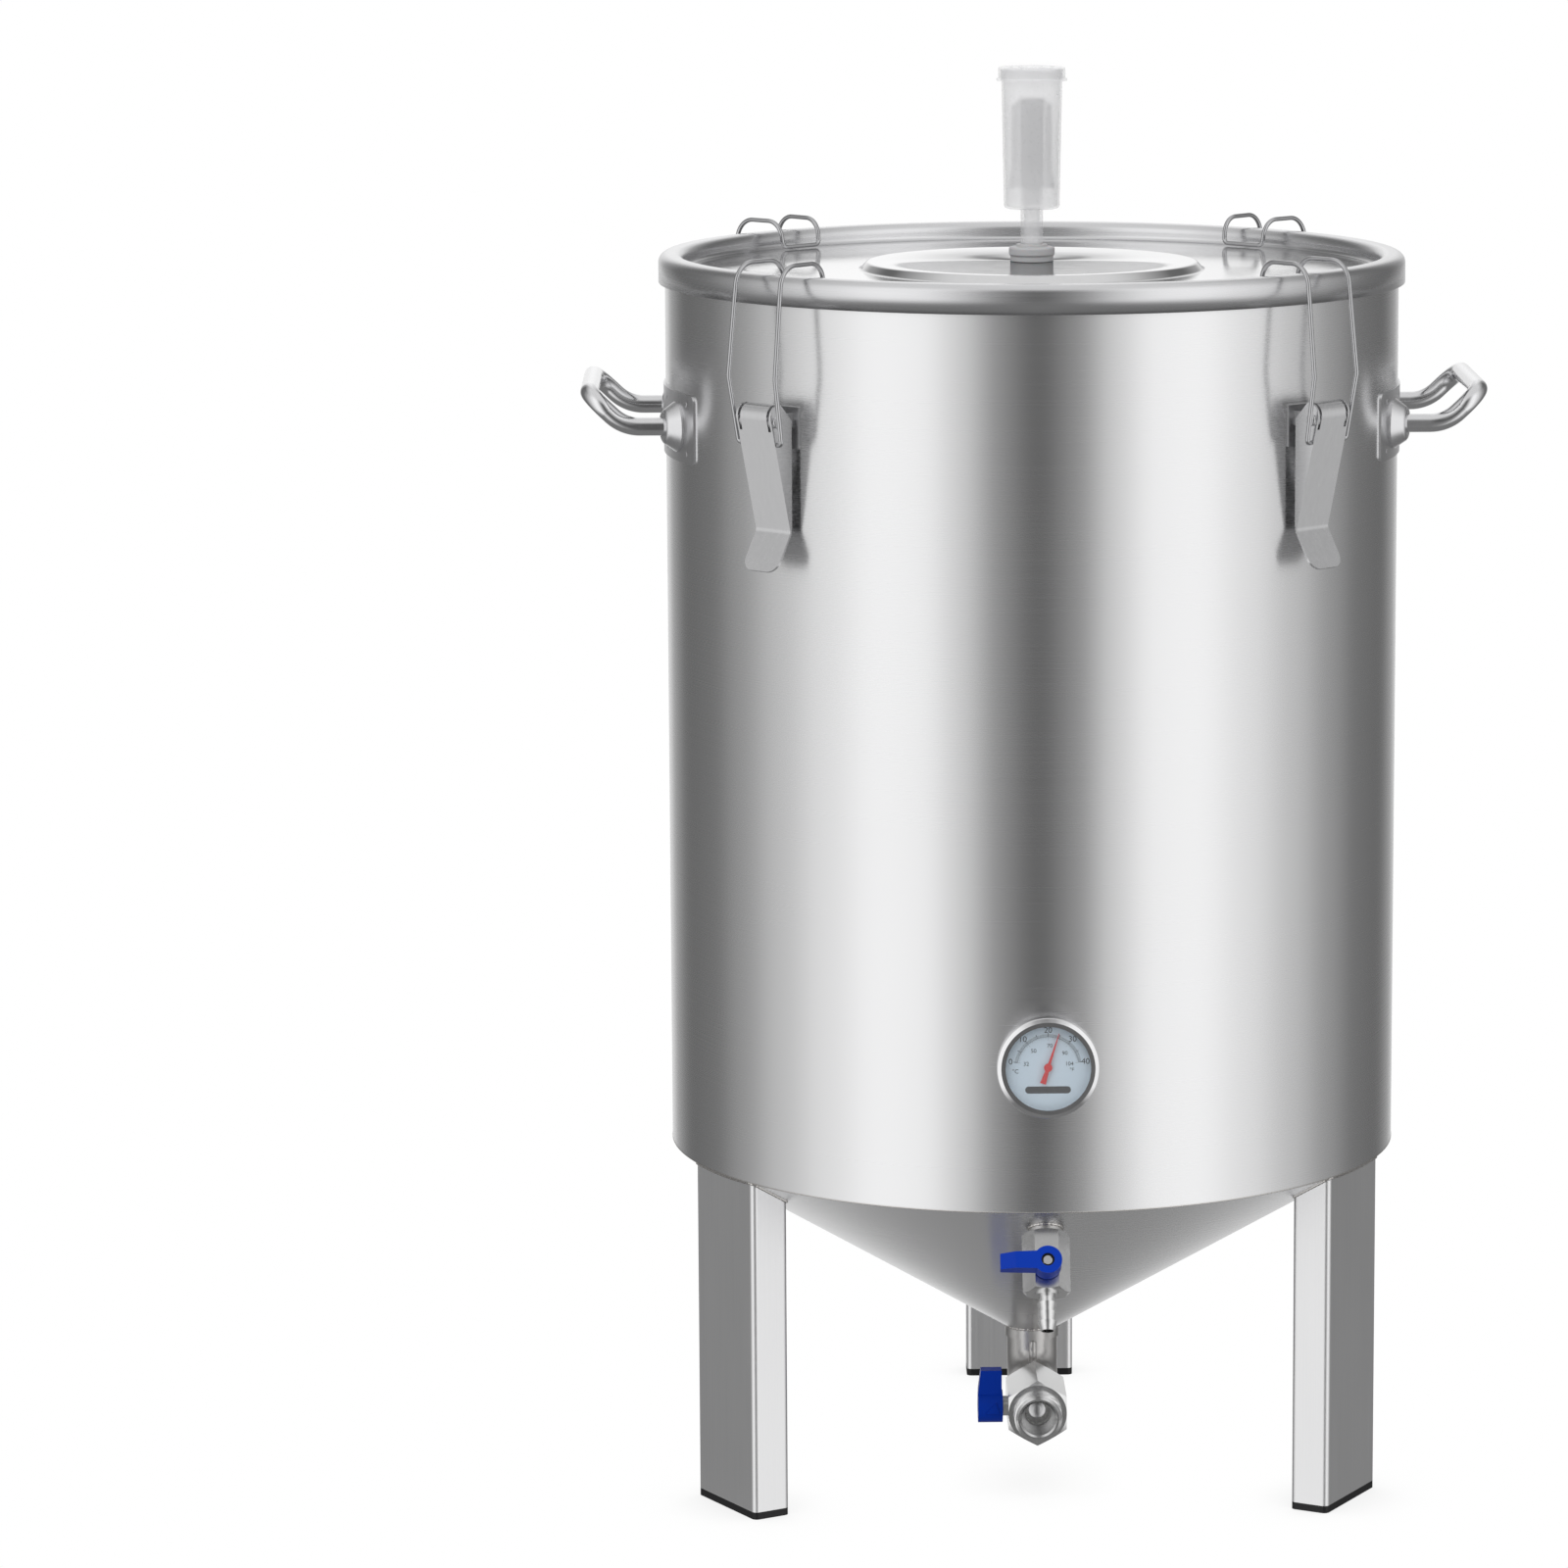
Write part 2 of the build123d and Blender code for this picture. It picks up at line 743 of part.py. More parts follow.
with BuildPart() as thermometer_case:
    with BuildSketch(turning_plane(dial_plane)) as case_section:
        Polygon(
            (spindle_bore, -thread_length),
            (thread_radius, -thread_length),
            (thread_radius, washer_thickness),
            (1.5 * thread_radius, washer_thickness),
            (1.5 * thread_radius, case_back),
            (case_outer, case_back),
            (case_outer, case_rim),
            (dial_radius + fit_gap, case_rim),
            (dial_radius + fit_gap, dial_seat),
            (dial_radius - dial_ledge, dial_seat),
            (dial_radius - dial_ledge, case_inside),
            (spindle_bore, case_inside),
            align=None,
        )
        fillet(case_section.vertices().sort_by_distance((case_outer, case_back))[0], radius=1.5)
    revolve(axis=dial_axis)
save(thermometer_case, "thermometer_case")

with BuildPart() as thermometer_bezel:
    with BuildSketch(turning_plane(dial_plane)) as bezel_section:
        Polygon(
            (case_outer + running_gap, bezel_front - bezel_depth),
            (dial_case_radius, bezel_front - bezel_depth),
            (dial_case_radius, bezel_front - bezel_fall),
            (dial_case_radius - bezel_width / 2, bezel_front),
            (dial_case_radius - bezel_width, bezel_front),
            (dial_case_radius - bezel_width, glass_top),
            (case_outer + running_gap, glass_top),
            align=None,
        )
        bezel_corner = (dial_case_radius, bezel_front - bezel_fall)
        fillet(bezel_section.vertices().sort_by_distance(bezel_corner)[0], bezel_round)
    revolve(axis=dial_axis)
save(thermometer_bezel, "thermometer_bezel")

with BuildPart() as thermometer_dial:
    with BuildSketch(dial_plane.offset(dial_seat)):
        Circle(dial_radius)
        Circle(spindle_bore, mode=Mode.SUBTRACT)
    extrude(amount=dial_thickness)
save(thermometer_dial, "thermometer_dial")

with BuildPart() as thermometer_glass:
    with BuildSketch(dial_plane.offset(case_rim)):
        Circle(case_outer - running_gap)
    extrude(amount=glass_thickness)
save(thermometer_glass, "thermometer_glass")

with BuildPart() as thermometer_pointer:
    pointer_back = dial_seat + dial_thickness + pointer_lift
    tilt = radians(pointer_angle)
    needle_plane = Plane(
        dial_plane.offset(pointer_back).origin,
        x_dir=(cos(tilt), 0, -sin(tilt)),
        z_dir=dial_plane.z_dir,
    )
    with BuildSketch(needle_plane):
        Circle(pointer_hub)
        for end_width, end in ((pointer_tip, pointer_length), (pointer_end, -pointer_tail)):
            Polygon(
                (-pointer_root, 0), (pointer_root, 0), (end_width, end), (-end_width, end),
                align=None,
            )
    extrude(amount=pointer_thickness)
save(thermometer_pointer, "thermometer_pointer")

with BuildPart() as thermometer_spindle:
    with BuildSketch(dial_plane.offset(pointer_back)):
        Circle(spindle_radius)
    extrude(amount=-(pointer_back + thread_length + probe_length - 3))
save(thermometer_spindle, "thermometer_spindle")

with BuildPart() as thermometer_probe:
    with BuildSketch(dial_plane.offset(-thread_length)):
        Circle(probe_radius)
    extrude(amount=-probe_length)
    fillet(thermometer_probe.faces().sort_by(Axis.Y)[-1].edges(), radius=1.5)
    with BuildSketch(dial_plane.offset(-thread_length)):
        Circle(probe_bore)
    extrude(amount=-(probe_length - 2), mode=Mode.SUBTRACT)
save(thermometer_probe, "thermometer_probe")

nut_seat = -(sheet + washer_thickness)

with BuildPart() as outer_washer:
    with BuildSketch(dial_plane.offset(-1)):
        Circle(washer_radius)
        Circle(thread_radius + fit_gap, mode=Mode.SUBTRACT)
    extrude(amount=washer_thickness + 1)
    with BuildSketch(Plane.XY.offset(barrel_bottom)):
        Circle(barrel_radius)
    extrude(amount=barrel_height, mode=Mode.SUBTRACT)

with BuildPart() as inner_washer:
    with BuildSketch(dial_plane.offset(nut_seat)):
        Circle(washer_radius)
        Circle(thread_radius + fit_gap, mode=Mode.SUBTRACT)
    extrude(amount=washer_thickness + sheet)
    with BuildSketch(Plane.XY.offset(barrel_bottom)):
        Circle(barrel_radius - sheet)
    extrude(amount=barrel_height, mode=Mode.INTERSECT)

with BuildPart() as thermometer_washers:
    add([outer_washer.part, inner_washer.part])
save(thermometer_washers, "thermometer_washers")

with BuildPart() as thermometer_nut:
    with BuildSketch(dial_plane.offset(nut_seat)):
        RegularPolygon(nut_across / 2, 6, major_radius=False)
        Circle(thread_radius + fit_gap, mode=Mode.SUBTRACT)
    extrude(amount=-nut_thickness)
save(thermometer_nut, "thermometer_nut")


# ---- Valves ----
# A stem plane has its origin in the ball's middle and its normal along the stem. The shut lever
# points along its local -x.
def hex_ends(plane, across, start, length):
    """Turned shape that bevels the corners at both ends of a hexagonal bar."""
    corner = across / sqrt(3)
    bevel = (corner - across / 2) * tan(radians(30))
    with BuildPart() as blank:
        with BuildSketch(turning_plane(plane)):
            Polygon(
                (0, start),
                (across / 2, start),
                (corner, start + bevel),
                (corner, start + length - bevel),
                (across / 2, start + length),
                (0, start + length),
                align=None,
            )
        revolve(axis=Axis(plane.origin, plane.z_dir))
    return blank.part


def valve_ball(stem_plane, radius, port, stem):
    """Ball with its port across the flow, and a pocket for the stem."""
    with BuildPart(stem_plane) as ball:
        Sphere(radius)
        Cylinder(port, 3 * radius, rotation=(0, 90, 0), mode=Mode.SUBTRACT)
        with Locations((0, 0, port + 1)):
            Cylinder(stem + running_gap, radius, align=centred, mode=Mode.SUBTRACT)
    return ball


def valve_seats(stem_plane, flow_plane, radius, port, seat_outer, seat_length):
    """Two rings that seal on the ball, one each side of it along the flow."""
    with BuildPart() as seats:
        for direction in (1, -1):
            with BuildSketch(flow_plane.offset(direction * (radius + seat_length))):
                Circle(seat_outer)
                Circle(port, mode=Mode.SUBTRACT)
            extrude(amount=-direction * (radius + seat_length - port - 1))
        add(Sphere(radius + running_gap, mode=Mode.PRIVATE).moved(stem_plane.location),
            mode=Mode.SUBTRACT)
    return seats


def valve_stem(stem_plane, stem, start, end):
    """Stem from the ball's pocket to the bottom of the lever's recess, tapped for the screw."""
    with BuildPart() as rod:
        with BuildSketch(stem_plane.offset(start)):
            Circle(stem)
        extrude(amount=end - start)
        with BuildSketch(stem_plane.offset(end)):
            Circle(stem / 2 + running_gap)
        extrude(amount=-screw_shank, mode=Mode.SUBTRACT)
    return rod


def valve_lever(stem_plane, stem, base, thickness, hub, arm, undercut, slope):
    """Moulded lever: round hub, tapered arm with a sloping tip, and a recess for the screw."""
    top = base + thickness
    with BuildPart() as lever:
        with BuildSketch(stem_plane.offset(base + undercut)):
            Polygon(
                (0, -lever_arm_width / 2),
                (0, lever_arm_width / 2),
                (-arm, lever_tip_width / 2),
                (-arm, -lever_tip_width / 2),
                align=None,
            )
        extrude(amount=thickness - undercut)
        tip_edge = lever.edges().sort_by_distance(stem_plane.from_local_coords((-arm, 0, top)))
        chamfer(tip_edge[0], length=slope, length2=thickness - undercut - lever_tip_side)
        with BuildSketch(stem_plane.offset(base)):
            Circle(hub)
        extrude(amount=thickness)
        with BuildSketch(stem_plane.offset(top)):
            Circle(screw_radius + screw_space)
        extrude(amount=-screw_recess, mode=Mode.SUBTRACT)
        with BuildSketch(stem_plane.offset(base)):
            Circle(stem + running_gap)
        extrude(amount=thickness, mode=Mode.SUBTRACT)
    return lever


def valve_screw(stem_plane, stem, seat):
    """Slotted screw whose head holds the lever on the stem."""
    with BuildPart() as screw:
        with BuildSketch(stem_plane.offset(seat)):
            Circle(screw_radius)
        extrude(amount=screw_head)
        with BuildSketch(stem_plane.offset(seat)):
            Circle(stem / 2)
        extrude(amount=-screw_shank + 0.5)
        with BuildSketch(stem_plane.offset(seat + screw_head)):
            Rectangle(3 * screw_radius, screw_slot, rotation=screw_slot_angle)
        extrude(amount=-screw_slot, mode=Mode.SUBTRACT)
    return screw


def save_valve_handle(name, stem_plane, radius, port, stem, base, thickness, *lever_sizes):
    """Everything that turns with one valve's lever."""
    seat = base + thickness - screw_recess
    save(valve_ball(stem_plane, radius, port, stem), f"{name}_ball")
    save(valve_stem(stem_plane, stem, port + 1, seat), f"{name}_stem")
    save(valve_lever(stem_plane, stem, base, thickness, *lever_sizes), f"{name}_lever")
    save(valve_screw(stem_plane, stem, seat), f"{name}_screw")


# Racking valve: its flow runs along the cone's normal, its stem faces forwards and up
racking_middle = racking_socket_height + racking_ball_place * racking_length
racking_cavity = racking_ball + seat_gap
racking_insert_start = racking_middle + racking_ball + racking_seat
racking_end = racking_socket_height + racking_length
racking_ball_plane = racking_plane.offset(racking_middle)
racking_stem_plane = Plane(racking_ball_plane.origin, x_dir=(1, 0, 0), z_dir=racking_plane.y_dir)
racking_boss_top = racking_across / 2 + racking_boss

with BuildPart() as racking_valve_body:
    with BuildSketch(racking_plane.offset(racking_socket_height)):
        RegularPolygon(racking_across / 2, 6, major_radius=False)
    extrude(amount=racking_length)
    add(hex_ends(racking_plane, racking_across, racking_socket_height, racking_length),
        mode=Mode.INTERSECT)
    with BuildSketch(racking_plane):
        Circle(racking_socket_radius - socket_wall - fit_gap)
    extrude(amount=racking_socket_height)
    with BuildSketch(racking_stem_plane):
        Circle(racking_boss_radius)
    extrude(amount=racking_boss_top)
    with BuildSketch(racking_plane):
        Circle(racking_bore)
    extrude(amount=racking_end, mode=Mode.SUBTRACT)
    with BuildSketch(racking_ball_plane.offset(-racking_ball - racking_seat)):
        Circle(racking_cavity)
    extrude(amount=racking_length, mode=Mode.SUBTRACT)
    with BuildSketch(racking_stem_plane):
        Circle(racking_stem + running_gap)
    extrude(amount=racking_boss_top, mode=Mode.SUBTRACT)
save(racking_valve_body, "racking_valve_body")

save(
    valve_seats(racking_stem_plane, racking_ball_plane, racking_ball, racking_bore,
                racking_cavity - running_gap, racking_seat),
    "racking_seats",
)

with BuildPart() as racking_barb:
    barb_pitch = barb_length / (barb_count + 1)
    with BuildSketch(turning_plane(racking_plane)):
        with BuildLine():
            outline = [
                (barb_bore, racking_insert_start),
                (racking_cavity - running_gap, racking_insert_start),
                (racking_cavity - running_gap, racking_end + 1),
                (barb_radius, racking_end + 1),
            ]
            for ridge in range(barb_count):
                top = racking_end + (ridge + 1) * barb_pitch
                outline += [(barb_radius, top), (barb_radius + barb_ridge, top)]
            outline += [(barb_radius - barb_tip_taper, racking_end + barb_length)]
            outline += [(barb_bore, racking_end + barb_length)]
            Polyline(*outline, close=True)
        make_face()
    revolve(axis=Axis(racking_plane.origin, racking_plane.z_dir))
save(racking_barb, "racking_barb")

save_valve_handle("racking", racking_stem_plane, racking_ball, racking_bore, racking_stem,
                  racking_boss_top + seat_gap, racking_lever_thickness, racking_lever_hub,
                  racking_lever_arm, racking_lever_undercut, racking_lever_slope)

# Dump elbow and valve: the flow turns forwards under the outlet, the stem points left
dump_height = socket_bottom - elbow_bend - elbow_drop
elbow_path_end = elbow_bend + elbow_run

with BuildPart() as dump_elbow:
    with BuildLine() as bend:
        FilletPolyline(
            (0, 0, socket_bottom),
            (0, 0, dump_height),
            (0, -elbow_path_end, dump_height),
            radius=elbow_bend,
        )
    with BuildSketch(bend.line ^ 0):
        Circle(elbow_radius)
        Circle(elbow_bore, mode=Mode.SUBTRACT)
    sweep()
save(dump_elbow, "dump_elbow")

dump_plane = Plane((0, -elbow_path_end, dump_height), x_dir=(1, 0, 0), z_dir=(0, -1, 0))
dump_middle = dump_length - dump_ball - dump_seat - dump_insert
dump_ball_plane = dump_plane.offset(dump_middle)
dump_stem_plane = Plane(dump_ball_plane.origin, x_dir=(0, 0, -1), z_dir=(-1, 0, 0))
dump_cavity = dump_ball + seat_gap
dump_boss_top = dump_across / 2 + dump_boss
dump_insert_start = dump_middle + dump_ball + dump_seat
outlet_end = dump_length + outlet_thread_length

with BuildPart() as dump_valve_body:
    with BuildSketch(dump_plane):
        RegularPolygon(dump_across / 2, 6, major_radius=False, rotation=30)
    extrude(amount=dump_length)
    add(hex_ends(dump_plane, dump_across, 0, dump_length), mode=Mode.INTERSECT)
    with BuildSketch(dump_stem_plane):
        Circle(dump_boss_radius)
    extrude(amount=dump_boss_top)
    with BuildSketch(dump_plane):
        Circle(dump_port)
    extrude(amount=dump_length, mode=Mode.SUBTRACT)
    with BuildSketch(dump_ball_plane.offset(-dump_ball - dump_seat)):
        Circle(dump_cavity)
    extrude(amount=dump_length, mode=Mode.SUBTRACT)
    with BuildSketch(dump_stem_plane):
        Circle(dump_stem + running_gap)
    extrude(amount=dump_boss_top, mode=Mode.SUBTRACT)
save(dump_valve_body, "dump_valve_body")

save(
    valve_seats(dump_stem_plane, dump_ball_plane, dump_ball, dump_port,
                dump_cavity - running_gap, dump_seat),
    "dump_seats",
)

with BuildPart() as dump_outlet:
    with BuildSketch(turning_plane(dump_plane)):
        Polygon(
            (dump_port, dump_insert_start),
            (dump_cavity - running_gap, dump_insert_start),
            (dump_cavity - running_gap, dump_length),
            (outlet_thread_radius, dump_length),
            (outlet_thread_radius, outlet_end - outlet_chamfer),
            (outlet_thread_radius - outlet_chamfer, outlet_end),
            (outlet_bore + 1, outlet_end),
            (outlet_bore, outlet_end - 1),
            (outlet_bore, dump_length),
            (dump_port, dump_length),
            align=None,
        )
    revolve(axis=Axis(dump_plane.origin, dump_plane.z_dir))
save(dump_outlet, "dump_outlet")

save_valve_handle("dump", dump_stem_plane, dump_ball, dump_port, dump_stem,
                  dump_boss_top + seat_gap, dump_lever_thickness, dump_lever_hub,
                  dump_lever_arm, dump_lever_undercut, dump_lever_slope)
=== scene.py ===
import json
from math import radians, pi

import bmesh
import bpy
import numpy as np
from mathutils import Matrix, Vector


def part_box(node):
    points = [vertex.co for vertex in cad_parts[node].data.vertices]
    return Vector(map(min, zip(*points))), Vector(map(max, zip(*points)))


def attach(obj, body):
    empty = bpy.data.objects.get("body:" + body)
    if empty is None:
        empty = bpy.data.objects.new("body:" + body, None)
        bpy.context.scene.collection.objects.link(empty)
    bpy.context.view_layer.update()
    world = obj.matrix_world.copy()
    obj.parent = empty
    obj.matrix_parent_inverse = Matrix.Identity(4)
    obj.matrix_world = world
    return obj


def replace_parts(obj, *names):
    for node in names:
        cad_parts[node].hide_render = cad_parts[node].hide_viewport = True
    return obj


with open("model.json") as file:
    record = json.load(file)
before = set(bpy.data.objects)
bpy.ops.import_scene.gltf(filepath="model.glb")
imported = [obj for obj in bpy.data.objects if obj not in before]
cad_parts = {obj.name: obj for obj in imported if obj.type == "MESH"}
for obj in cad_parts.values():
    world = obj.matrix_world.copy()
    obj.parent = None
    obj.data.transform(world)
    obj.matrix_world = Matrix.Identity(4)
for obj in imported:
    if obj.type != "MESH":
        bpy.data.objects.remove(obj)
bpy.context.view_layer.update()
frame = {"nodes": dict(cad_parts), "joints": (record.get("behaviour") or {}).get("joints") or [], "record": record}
scene = bpy.context.scene
scene.view_settings.view_transform = "Standard"
nodes = frame["nodes"]
mm = 0.001
print("frame loaded:", len(nodes), "nodes")


# Shape helpers: outlines, turned surfaces and tubes

def roundOutline(points, radii, steps=6, guard=0.25, closed=True):
    # each corner becomes an arc tangent to its two sides, with a guard point just beyond each end
    pts = np.asarray(points, float)
    count = len(pts)
    out = []
    for i in range(count):
        if not closed and i in (0, count - 1):
            out.append(pts[i])
            continue
        radius = radii[i] if np.ndim(radii) else radii
        before, here, after = pts[i - 1], pts[i], pts[(i + 1) % count]
        u = (before - here) / np.linalg.norm(before - here)
        v = (after - here) / np.linalg.norm(after - here)
        half = np.arccos(np.clip(u @ v, -1, 1)) / 2
        if radius <= 0 or half > radians(89.5):
            out.append(here)
            continue
        cut = radius / np.tan(half)
        middle = here + (u + v) / np.linalg.norm(u + v) * radius / np.sin(half)
        start, end = here + u * cut - middle, here + v * cut - middle
        turn = np.arctan2(start[0] * end[1] - start[1] * end[0], start @ end)
        angle = np.linspace(0, turn, steps)[:, None]
        side = np.array([-start[1], start[0]])
        arc = middle + start * np.cos(angle) + side * np.sin(angle)
        out += [here + u * (cut + guard), *arc, here + v * (cut + guard)]
    return np.array(out)


def meshObject(name, verts, faces, material, smooth=True):
    mesh = bpy.data.meshes.new(name)
    mesh.from_pydata(np.asarray(verts).tolist(), [], np.asarray(faces).tolist())
    mesh.update()
    mesh.polygons.foreach_set("use_smooth", [smooth] * len(mesh.polygons))
    obj = bpy.data.objects.new(name, mesh)
    scene.collection.objects.link(obj)
    obj.data.materials.append(material)
    return obj


def gridFaces(rows, columns, wrapRows, wrapColumns):
    # quads between neighbouring grid points, row by row
    i = np.arange(rows if wrapRows else rows - 1)[:, None]
    j = np.arange(columns if wrapColumns else columns - 1)[None, :]
    nextRow, nextColumn = (i + 1) % rows, (j + 1) % columns
    corners = [i * columns + j, i * columns + nextColumn,
               nextRow * columns + nextColumn, nextRow * columns + j]
    return np.stack([np.broadcast_to(c, (i.size, j.size)) for c in corners], -1).reshape(-1, 4)


def turned(name, outline, material, segments=128, origin=(0, 0, 0), axis=(0, 0, 1), closed=True):
    # point = origin + radius * (side cos t + other sin t) + height * axis, outline in mm
    axis = np.array(axis, float) / np.linalg.norm(axis)
    side = np.array(Vector(axis).orthogonal().normalized())
    other = np.cross(axis, side)
    outline = np.asarray(outline)
    t = np.linspace(0, 2 * pi, segments, endpoint=False)
    ring = side * np.cos(t)[:, None] + other * np.sin(t)[:, None]
    grid = (np.array(origin) + outline[:, 0][:, None, None] * mm * ring
            + outline[:, 1][:, None, None] * mm * axis)
    obj = meshObject(name, grid.reshape(-1, 3), gridFaces(len(outline), segments, closed, True),
                     material)
    faceOutwards(obj)
    return obj


def faceOutwards(obj):
    # merge the points where a surface meets its own axis, then turn all faces outwards
    work = bmesh.new()
    work.from_mesh(obj.data)
    bmesh.ops.remove_doubles(work, verts=work.verts, dist=1e-6)
    bmesh.ops.recalc_face_normals(work, faces=work.faces)
    work.to_mesh(obj.data)
    work.free()
    obj.data.update()


# Shader helpers

def newGroup(name, inputs, outputs):
    group = bpy.data.node_groups.new(name, "ShaderNodeTree")
    for label, kind, value in inputs:
        socket = group.interface.new_socket(name=label, in_out="INPUT", socket_type=kind)
        if value is not None:
            socket.default_value = value
    for label, kind in outputs:
        group.interface.new_socket(name=label, in_out="OUTPUT", socket_type=kind)
    return group, group.nodes.new("NodeGroupInput"), group.nodes.new("NodeGroupOutput")


def brushGroup():
    # fine lines: noise stretched along the brushing, plus broad uneven patches
    group, given, made = newGroup(
        "brushedLines",
        [("Vector", "NodeSocketVector", None), ("Stretch", "NodeSocketVector", (3, 3, 900)),
         ("Patches", "NodeSocketFloat", 4.0)],
        [("Lines", "NodeSocketFloat"), ("Cloud", "NodeSocketFloat")])
    link = group.links.new
    scaled = group.nodes.new("ShaderNodeVectorMath")
    scaled.operation = "MULTIPLY"
    link(given.outputs["Vector"], scaled.inputs[0])
    link(given.outputs["Stretch"], scaled.inputs[1])
    lines = group.nodes.new("ShaderNodeTexNoise")
    lines.inputs["Scale"].default_value = 1.0
    lines.inputs["Detail"].default_value = 6.0
    lines.inputs["Roughness"].default_value = 0.65
    link(scaled.outputs[0], lines.inputs["Vector"])
    cloud = group.nodes.new("ShaderNodeTexNoise")
    cloud.inputs["Detail"].default_value = 3.0
    link(given.outputs["Vector"], cloud.inputs["Vector"])
    link(given.outputs["Patches"], cloud.inputs["Scale"])
    link(lines.outputs["Fac"], made.inputs["Lines"])
    link(cloud.outputs["Fac"], made.inputs["Cloud"])
    return group


brushedLines = brushGroup()


def shader(name):
    material = bpy.data.materials.new(name)
    material.use_nodes = True
    tree = material.node_tree
    return material, tree, tree.nodes["Principled BSDF"]


def mapRange(tree, source, low, high, fromLow=0.3, fromHigh=0.7):
    node = tree.nodes.new("ShaderNodeMapRange")
    node.inputs["From Min"].default_value = fromLow
    node.inputs["From Max"].default_value = fromHigh
    node.inputs["To Min"].default_value = low
    node.inputs["To Max"].default_value = high
    tree.links.new(source, node.inputs["Value"])
    return node.outputs["Result"]


def mixColors(tree, factor, colorA, colorB):
    node = tree.nodes.new("ShaderNodeMix")
    node.data_type = "RGBA"
    tree.links.new(factor, node.inputs["Factor"])
    for socket, value in ((node.inputs["A"], colorA), (node.inputs["B"], colorB)):
        if isinstance(value, tuple):
            socket.default_value = (*value, 1)
        else:
            tree.links.new(value, socket)
    return node.outputs["Result"]


def steel(name, color, roughness, spread, stretch, bump, anisotropy=0.0, patches=4.0, shade=0.06):
    # metal whose tone and gloss follow its brush lines, with broad patches over them
    material, tree, bsdf = shader(name)
    coords = tree.nodes.new("ShaderNodeTexCoord")
    brushed = tree.nodes.new("ShaderNodeGroup")
    brushed.node_tree = brushedLines
    brushed.inputs["Stretch"].default_value = stretch
    brushed.inputs["Patches"].default_value = patches
    tree.links.new(coords.outputs["Object"], brushed.inputs["Vector"])
    dark = tuple(c * (1 - shade) for c in color)
    light = tuple(min(c * (1 + shade), 1) for c in color)
    tree.links.new(mixColors(tree, brushed.outputs["Lines"], dark, light), bsdf.inputs["Base Color"])
    added = tree.nodes.new("ShaderNodeMath")
    added.operation = "ADD"
    tree.links.new(mapRange(tree, brushed.outputs["Lines"], -spread, spread), added.inputs[0])
    tree.links.new(mapRange(tree, brushed.outputs["Cloud"], roughness - spread, roughness + spread),
                   added.inputs[1])
    tree.links.new(added.outputs[0], bsdf.inputs["Roughness"])
    bumped = tree.nodes.new("ShaderNodeBump")
    bumped.inputs["Strength"].default_value = bump
    bumped.inputs["Distance"].default_value = 0.0002
    tree.links.new(brushed.outputs["Lines"], bumped.inputs["Height"])
    tree.links.new(bumped.outputs["Normal"], bsdf.inputs["Normal"])
    bsdf.inputs["Metallic"].default_value = 1.0
    if anisotropy:
        bsdf.inputs["Anisotropic"].default_value = anisotropy
        bsdf.inputs["Anisotropic Rotation"].default_value = 0.25
        tangent = tree.nodes.new("ShaderNodeTangent")
        tangent.direction_type = "RADIAL"
        tangent.axis = "Z"
        tree.links.new(tangent.outputs[0], bsdf.inputs["Tangent"])
    return material


def grainGroup():
    # fine moulding grain and broad uneven tone
    group, given, made = newGroup(
        "mouldGrain", [("Vector", "NodeSocketVector", None), ("Scale", "NodeSocketFloat", 900.0)],
        [("Grain", "NodeSocketFloat"), ("Cloud", "NodeSocketFloat")])
    for label, scale in (("Grain", None), ("Cloud", 25.0)):
        noise = group.nodes.new("ShaderNodeTexNoise")
        noise.inputs["Detail"].default_value = 3.0
        group.links.new(given.outputs["Vector"], noise.inputs["Vector"])
        if scale:
            noise.inputs["Scale"].default_value = scale
        else:
            group.links.new(given.outputs["Scale"], noise.inputs["Scale"])
        group.links.new(noise.outputs["Fac"], made.inputs[label])
    return group


mouldGrain = grainGroup()


def plastic(name, color, roughness, grain=900.0, bump=0.06, shade=0.05, **values):
    # moulded plastic, rubber or paint: faint grain in its tone, gloss and surface
    material, tree, bsdf = shader(name)
    coords = tree.nodes.new("ShaderNodeTexCoord")
    grained = tree.nodes.new("ShaderNodeGroup")
    grained.node_tree = mouldGrain
    grained.inputs["Scale"].default_value = grain
    tree.links.new(coords.outputs["Object"], grained.inputs["Vector"])
    dark = tuple(c * (1 - shade) for c in color)
    light = tuple(min(c * (1 + shade), 1) for c in color)
    tree.links.new(mixColors(tree, grained.outputs["Cloud"], dark, light),
                   bsdf.inputs["Base Color"])
    tree.links.new(mapRange(tree, grained.outputs["Grain"], roughness * 0.85, roughness * 1.15),
                   bsdf.inputs["Roughness"])
    bumped = tree.nodes.new("ShaderNodeBump")
    bumped.inputs["Strength"].default_value = bump
    bumped.inputs["Distance"].default_value = 0.0003
    tree.links.new(grained.outputs["Grain"], bumped.inputs["Height"])
    tree.links.new(bumped.outputs["Normal"], bsdf.inputs["Normal"])
    for label, value in values.items():
        bsdf.inputs[label.replace("_", " ")].default_value = value
    return material


